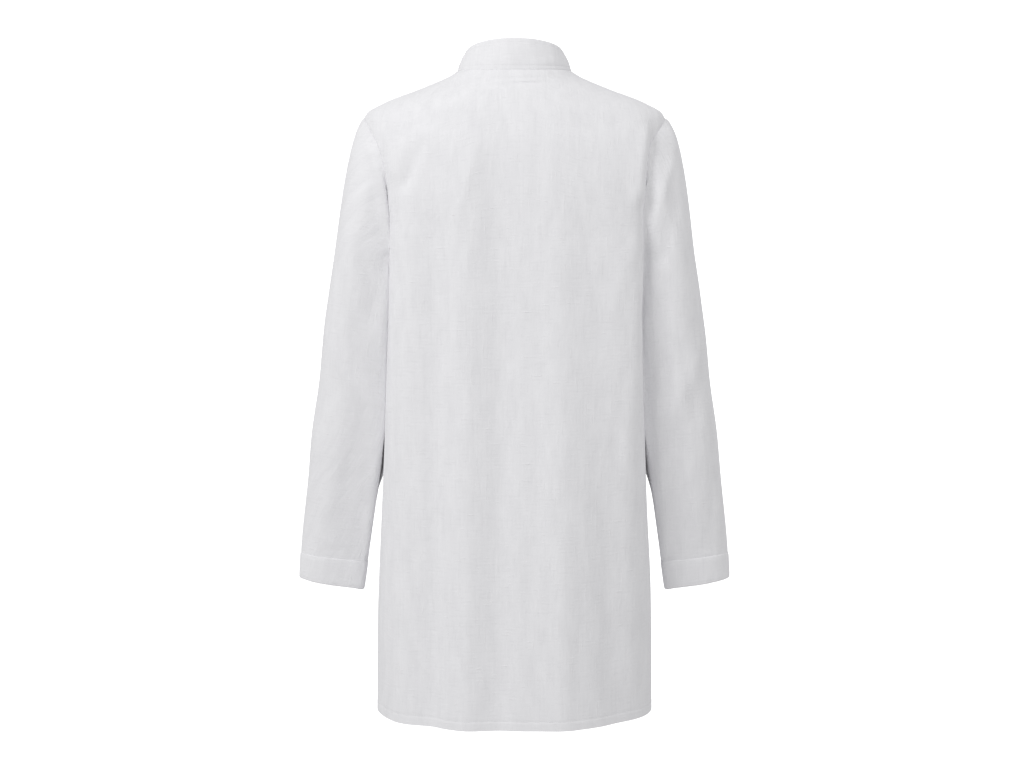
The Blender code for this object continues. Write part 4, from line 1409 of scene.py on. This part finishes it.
BODY_LINEN = linen("white_linen", (0.806, 0.803, 0.823), (0.866, 0.863, 0.882), 0.55)
# Painted shade: the sleeves get the body's linen made a shade darker, standing in for their shade.
SLEEVE_LINEN_PAINTED_SHADE = linen("white_linen_sleeve", (0.802, 0.799, 0.819), (0.862, 0.859, 0.878), 0.55)
BAND_WHITE = linen("white_linen_band", (0.816, 0.813, 0.833), (0.876, 0.873, 0.892), 0.50)


def dress(thing, material):
    thing.data.materials.clear()
    thing.data.materials.append(material)


for cloth in (back_cloth, front_left_cloth, front_right_cloth):
    dress(cloth, BODY_LINEN)
for cloth in sleeve_cloths.values():
    dress(cloth, SLEEVE_LINEN_PAINTED_SHADE)
for cloth in (placket_cloth, collar_cloth, *cuff_cloths.values()):
    dress(cloth, BAND_WHITE)
print("linens:", BODY_LINEN.name, SLEEVE_LINEN_PAINTED_SHADE.name, BAND_WHITE.name)

# %% [markdown]
# Thread and shell
#
# The sewing thread is smooth and twisted, and the buttons are pale shell with cloudy bands.  Both
# read the place of each point, so no two buttons are alike.

# %% Thread and shell


def grained(name, dark, light, scale, stretch, roughness, bump_height):
    """A material whose colour and height follow a noise read at each point's own place."""
    material, tree, shader = new_material(name, {"Roughness": roughness})
    place = tree.nodes.new('ShaderNodeTexCoord')
    grain = stretched_noise(tree, place.outputs["Object"], scale, scale * stretch, 3.0, 0.6)
    colour_and_bump(tree, shader, grain, (0.35, 0.65), (dark, light), grain, bump_height)
    return material


WHITE_THREAD = grained("white_thread", (0.74, 0.74, 0.75), (0.82, 0.82, 0.83),
                       2600.0, 0.4, 0.6, 0.0001)
SHELL = grained("pale_shell", (0.78, 0.76, 0.72), (0.88, 0.87, 0.85), 260.0, 3.0, 0.28, 0.00005)
for thread in STITCHES + fastenings:
    dress(thread, WHITE_THREAD)
for button in buttons:
    dress(button, SHELL)
print("buttons:", len(buttons), "pieces of thread:", len(STITCHES + fastenings))

# %% [markdown]

# %% [markdown]
# The studio
#
# The photograph is taken straight from behind, against white.  A large soft lamp stands high on
# the left of the picture, a weaker one on the right, and a pale floor lies well below the hem.

# %% Camera, lights and floor
CAMERA_DISTANCE = 2.2
CAMERA_HEIGHT = -0.4256
CAMERA_ACROSS = 0.0034
LENS = 56.7
FLOOR_HEIGHT = -1.30
KEY_POWER = 40.5
FILL_POWER = 11.5
ROOM_LIGHT = 0.59

let_go()
bpy.ops.object.camera_add(location=(CAMERA_ACROSS, CAMERA_DISTANCE, CAMERA_HEIGHT),
                          rotation=(math.radians(90), 0.0, math.pi))
camera = bpy.context.active_object
camera.data.lens = LENS
camera.data.sensor_width = 36.0
bpy.context.scene.camera = camera


def soft_lamp(name, place, aim, size, power):
    """A square area lamp at a place, turned towards another place."""
    let_go()
    bpy.ops.object.light_add(type='AREA', location=place)
    lamp = bpy.context.active_object
    lamp.name = name
    lamp.data.shape = 'SQUARE'
    lamp.data.size = size
    lamp.data.energy = power
    direction = Vector(aim) - Vector(place)
    lamp.rotation_euler = direction.to_track_quat('-Z', 'Y').to_euler()
    print(name, "power:", power)


soft_lamp("key_lamp", (1.9, 2.1, 1.3), (0.0, 0.1, -0.4), 1.3, KEY_POWER)
soft_lamp("fill_lamp", (-1.9, 1.4, 1.6), (0.0, 0.0, -0.3), 1.6, FILL_POWER)

world = bpy.data.worlds.new("studio")
bpy.context.scene.world = world
world.use_nodes = True
world.node_tree.nodes["Background"].inputs["Color"].default_value = (1.0, 1.0, 1.0, 1.0)
world.node_tree.nodes["Background"].inputs["Strength"].default_value = ROOM_LIGHT


def white_paper(thing):
    """Pale paper that the camera sees as white, and that throws no light back on the shirt."""
    paper, _, _ = new_material(thing.name, {
        "Base Color": (0.9, 0.9, 0.9, 1.0), "Emission Color": (1.0, 1.0, 1.0, 1.0),
        "Emission Strength": 1.0})
    dress(thing, paper)
    thing.visible_diffuse = False
    thing.visible_glossy = False
    thing.visible_shadow = False


let_go()
bpy.ops.mesh.primitive_plane_add(size=30.0, location=(0.0, 0.0, FLOOR_HEIGHT))
floor = bpy.context.active_object
floor.name = "studio_floor"
white_paper(floor)
let_go()
bpy.ops.mesh.primitive_uv_sphere_add(segments=48, ring_count=24, radius=14.0)
backdrop = bpy.context.active_object
backdrop.name = "studio_backdrop"
white_paper(backdrop)
bpy.context.scene.view_settings.view_transform = 'Standard'
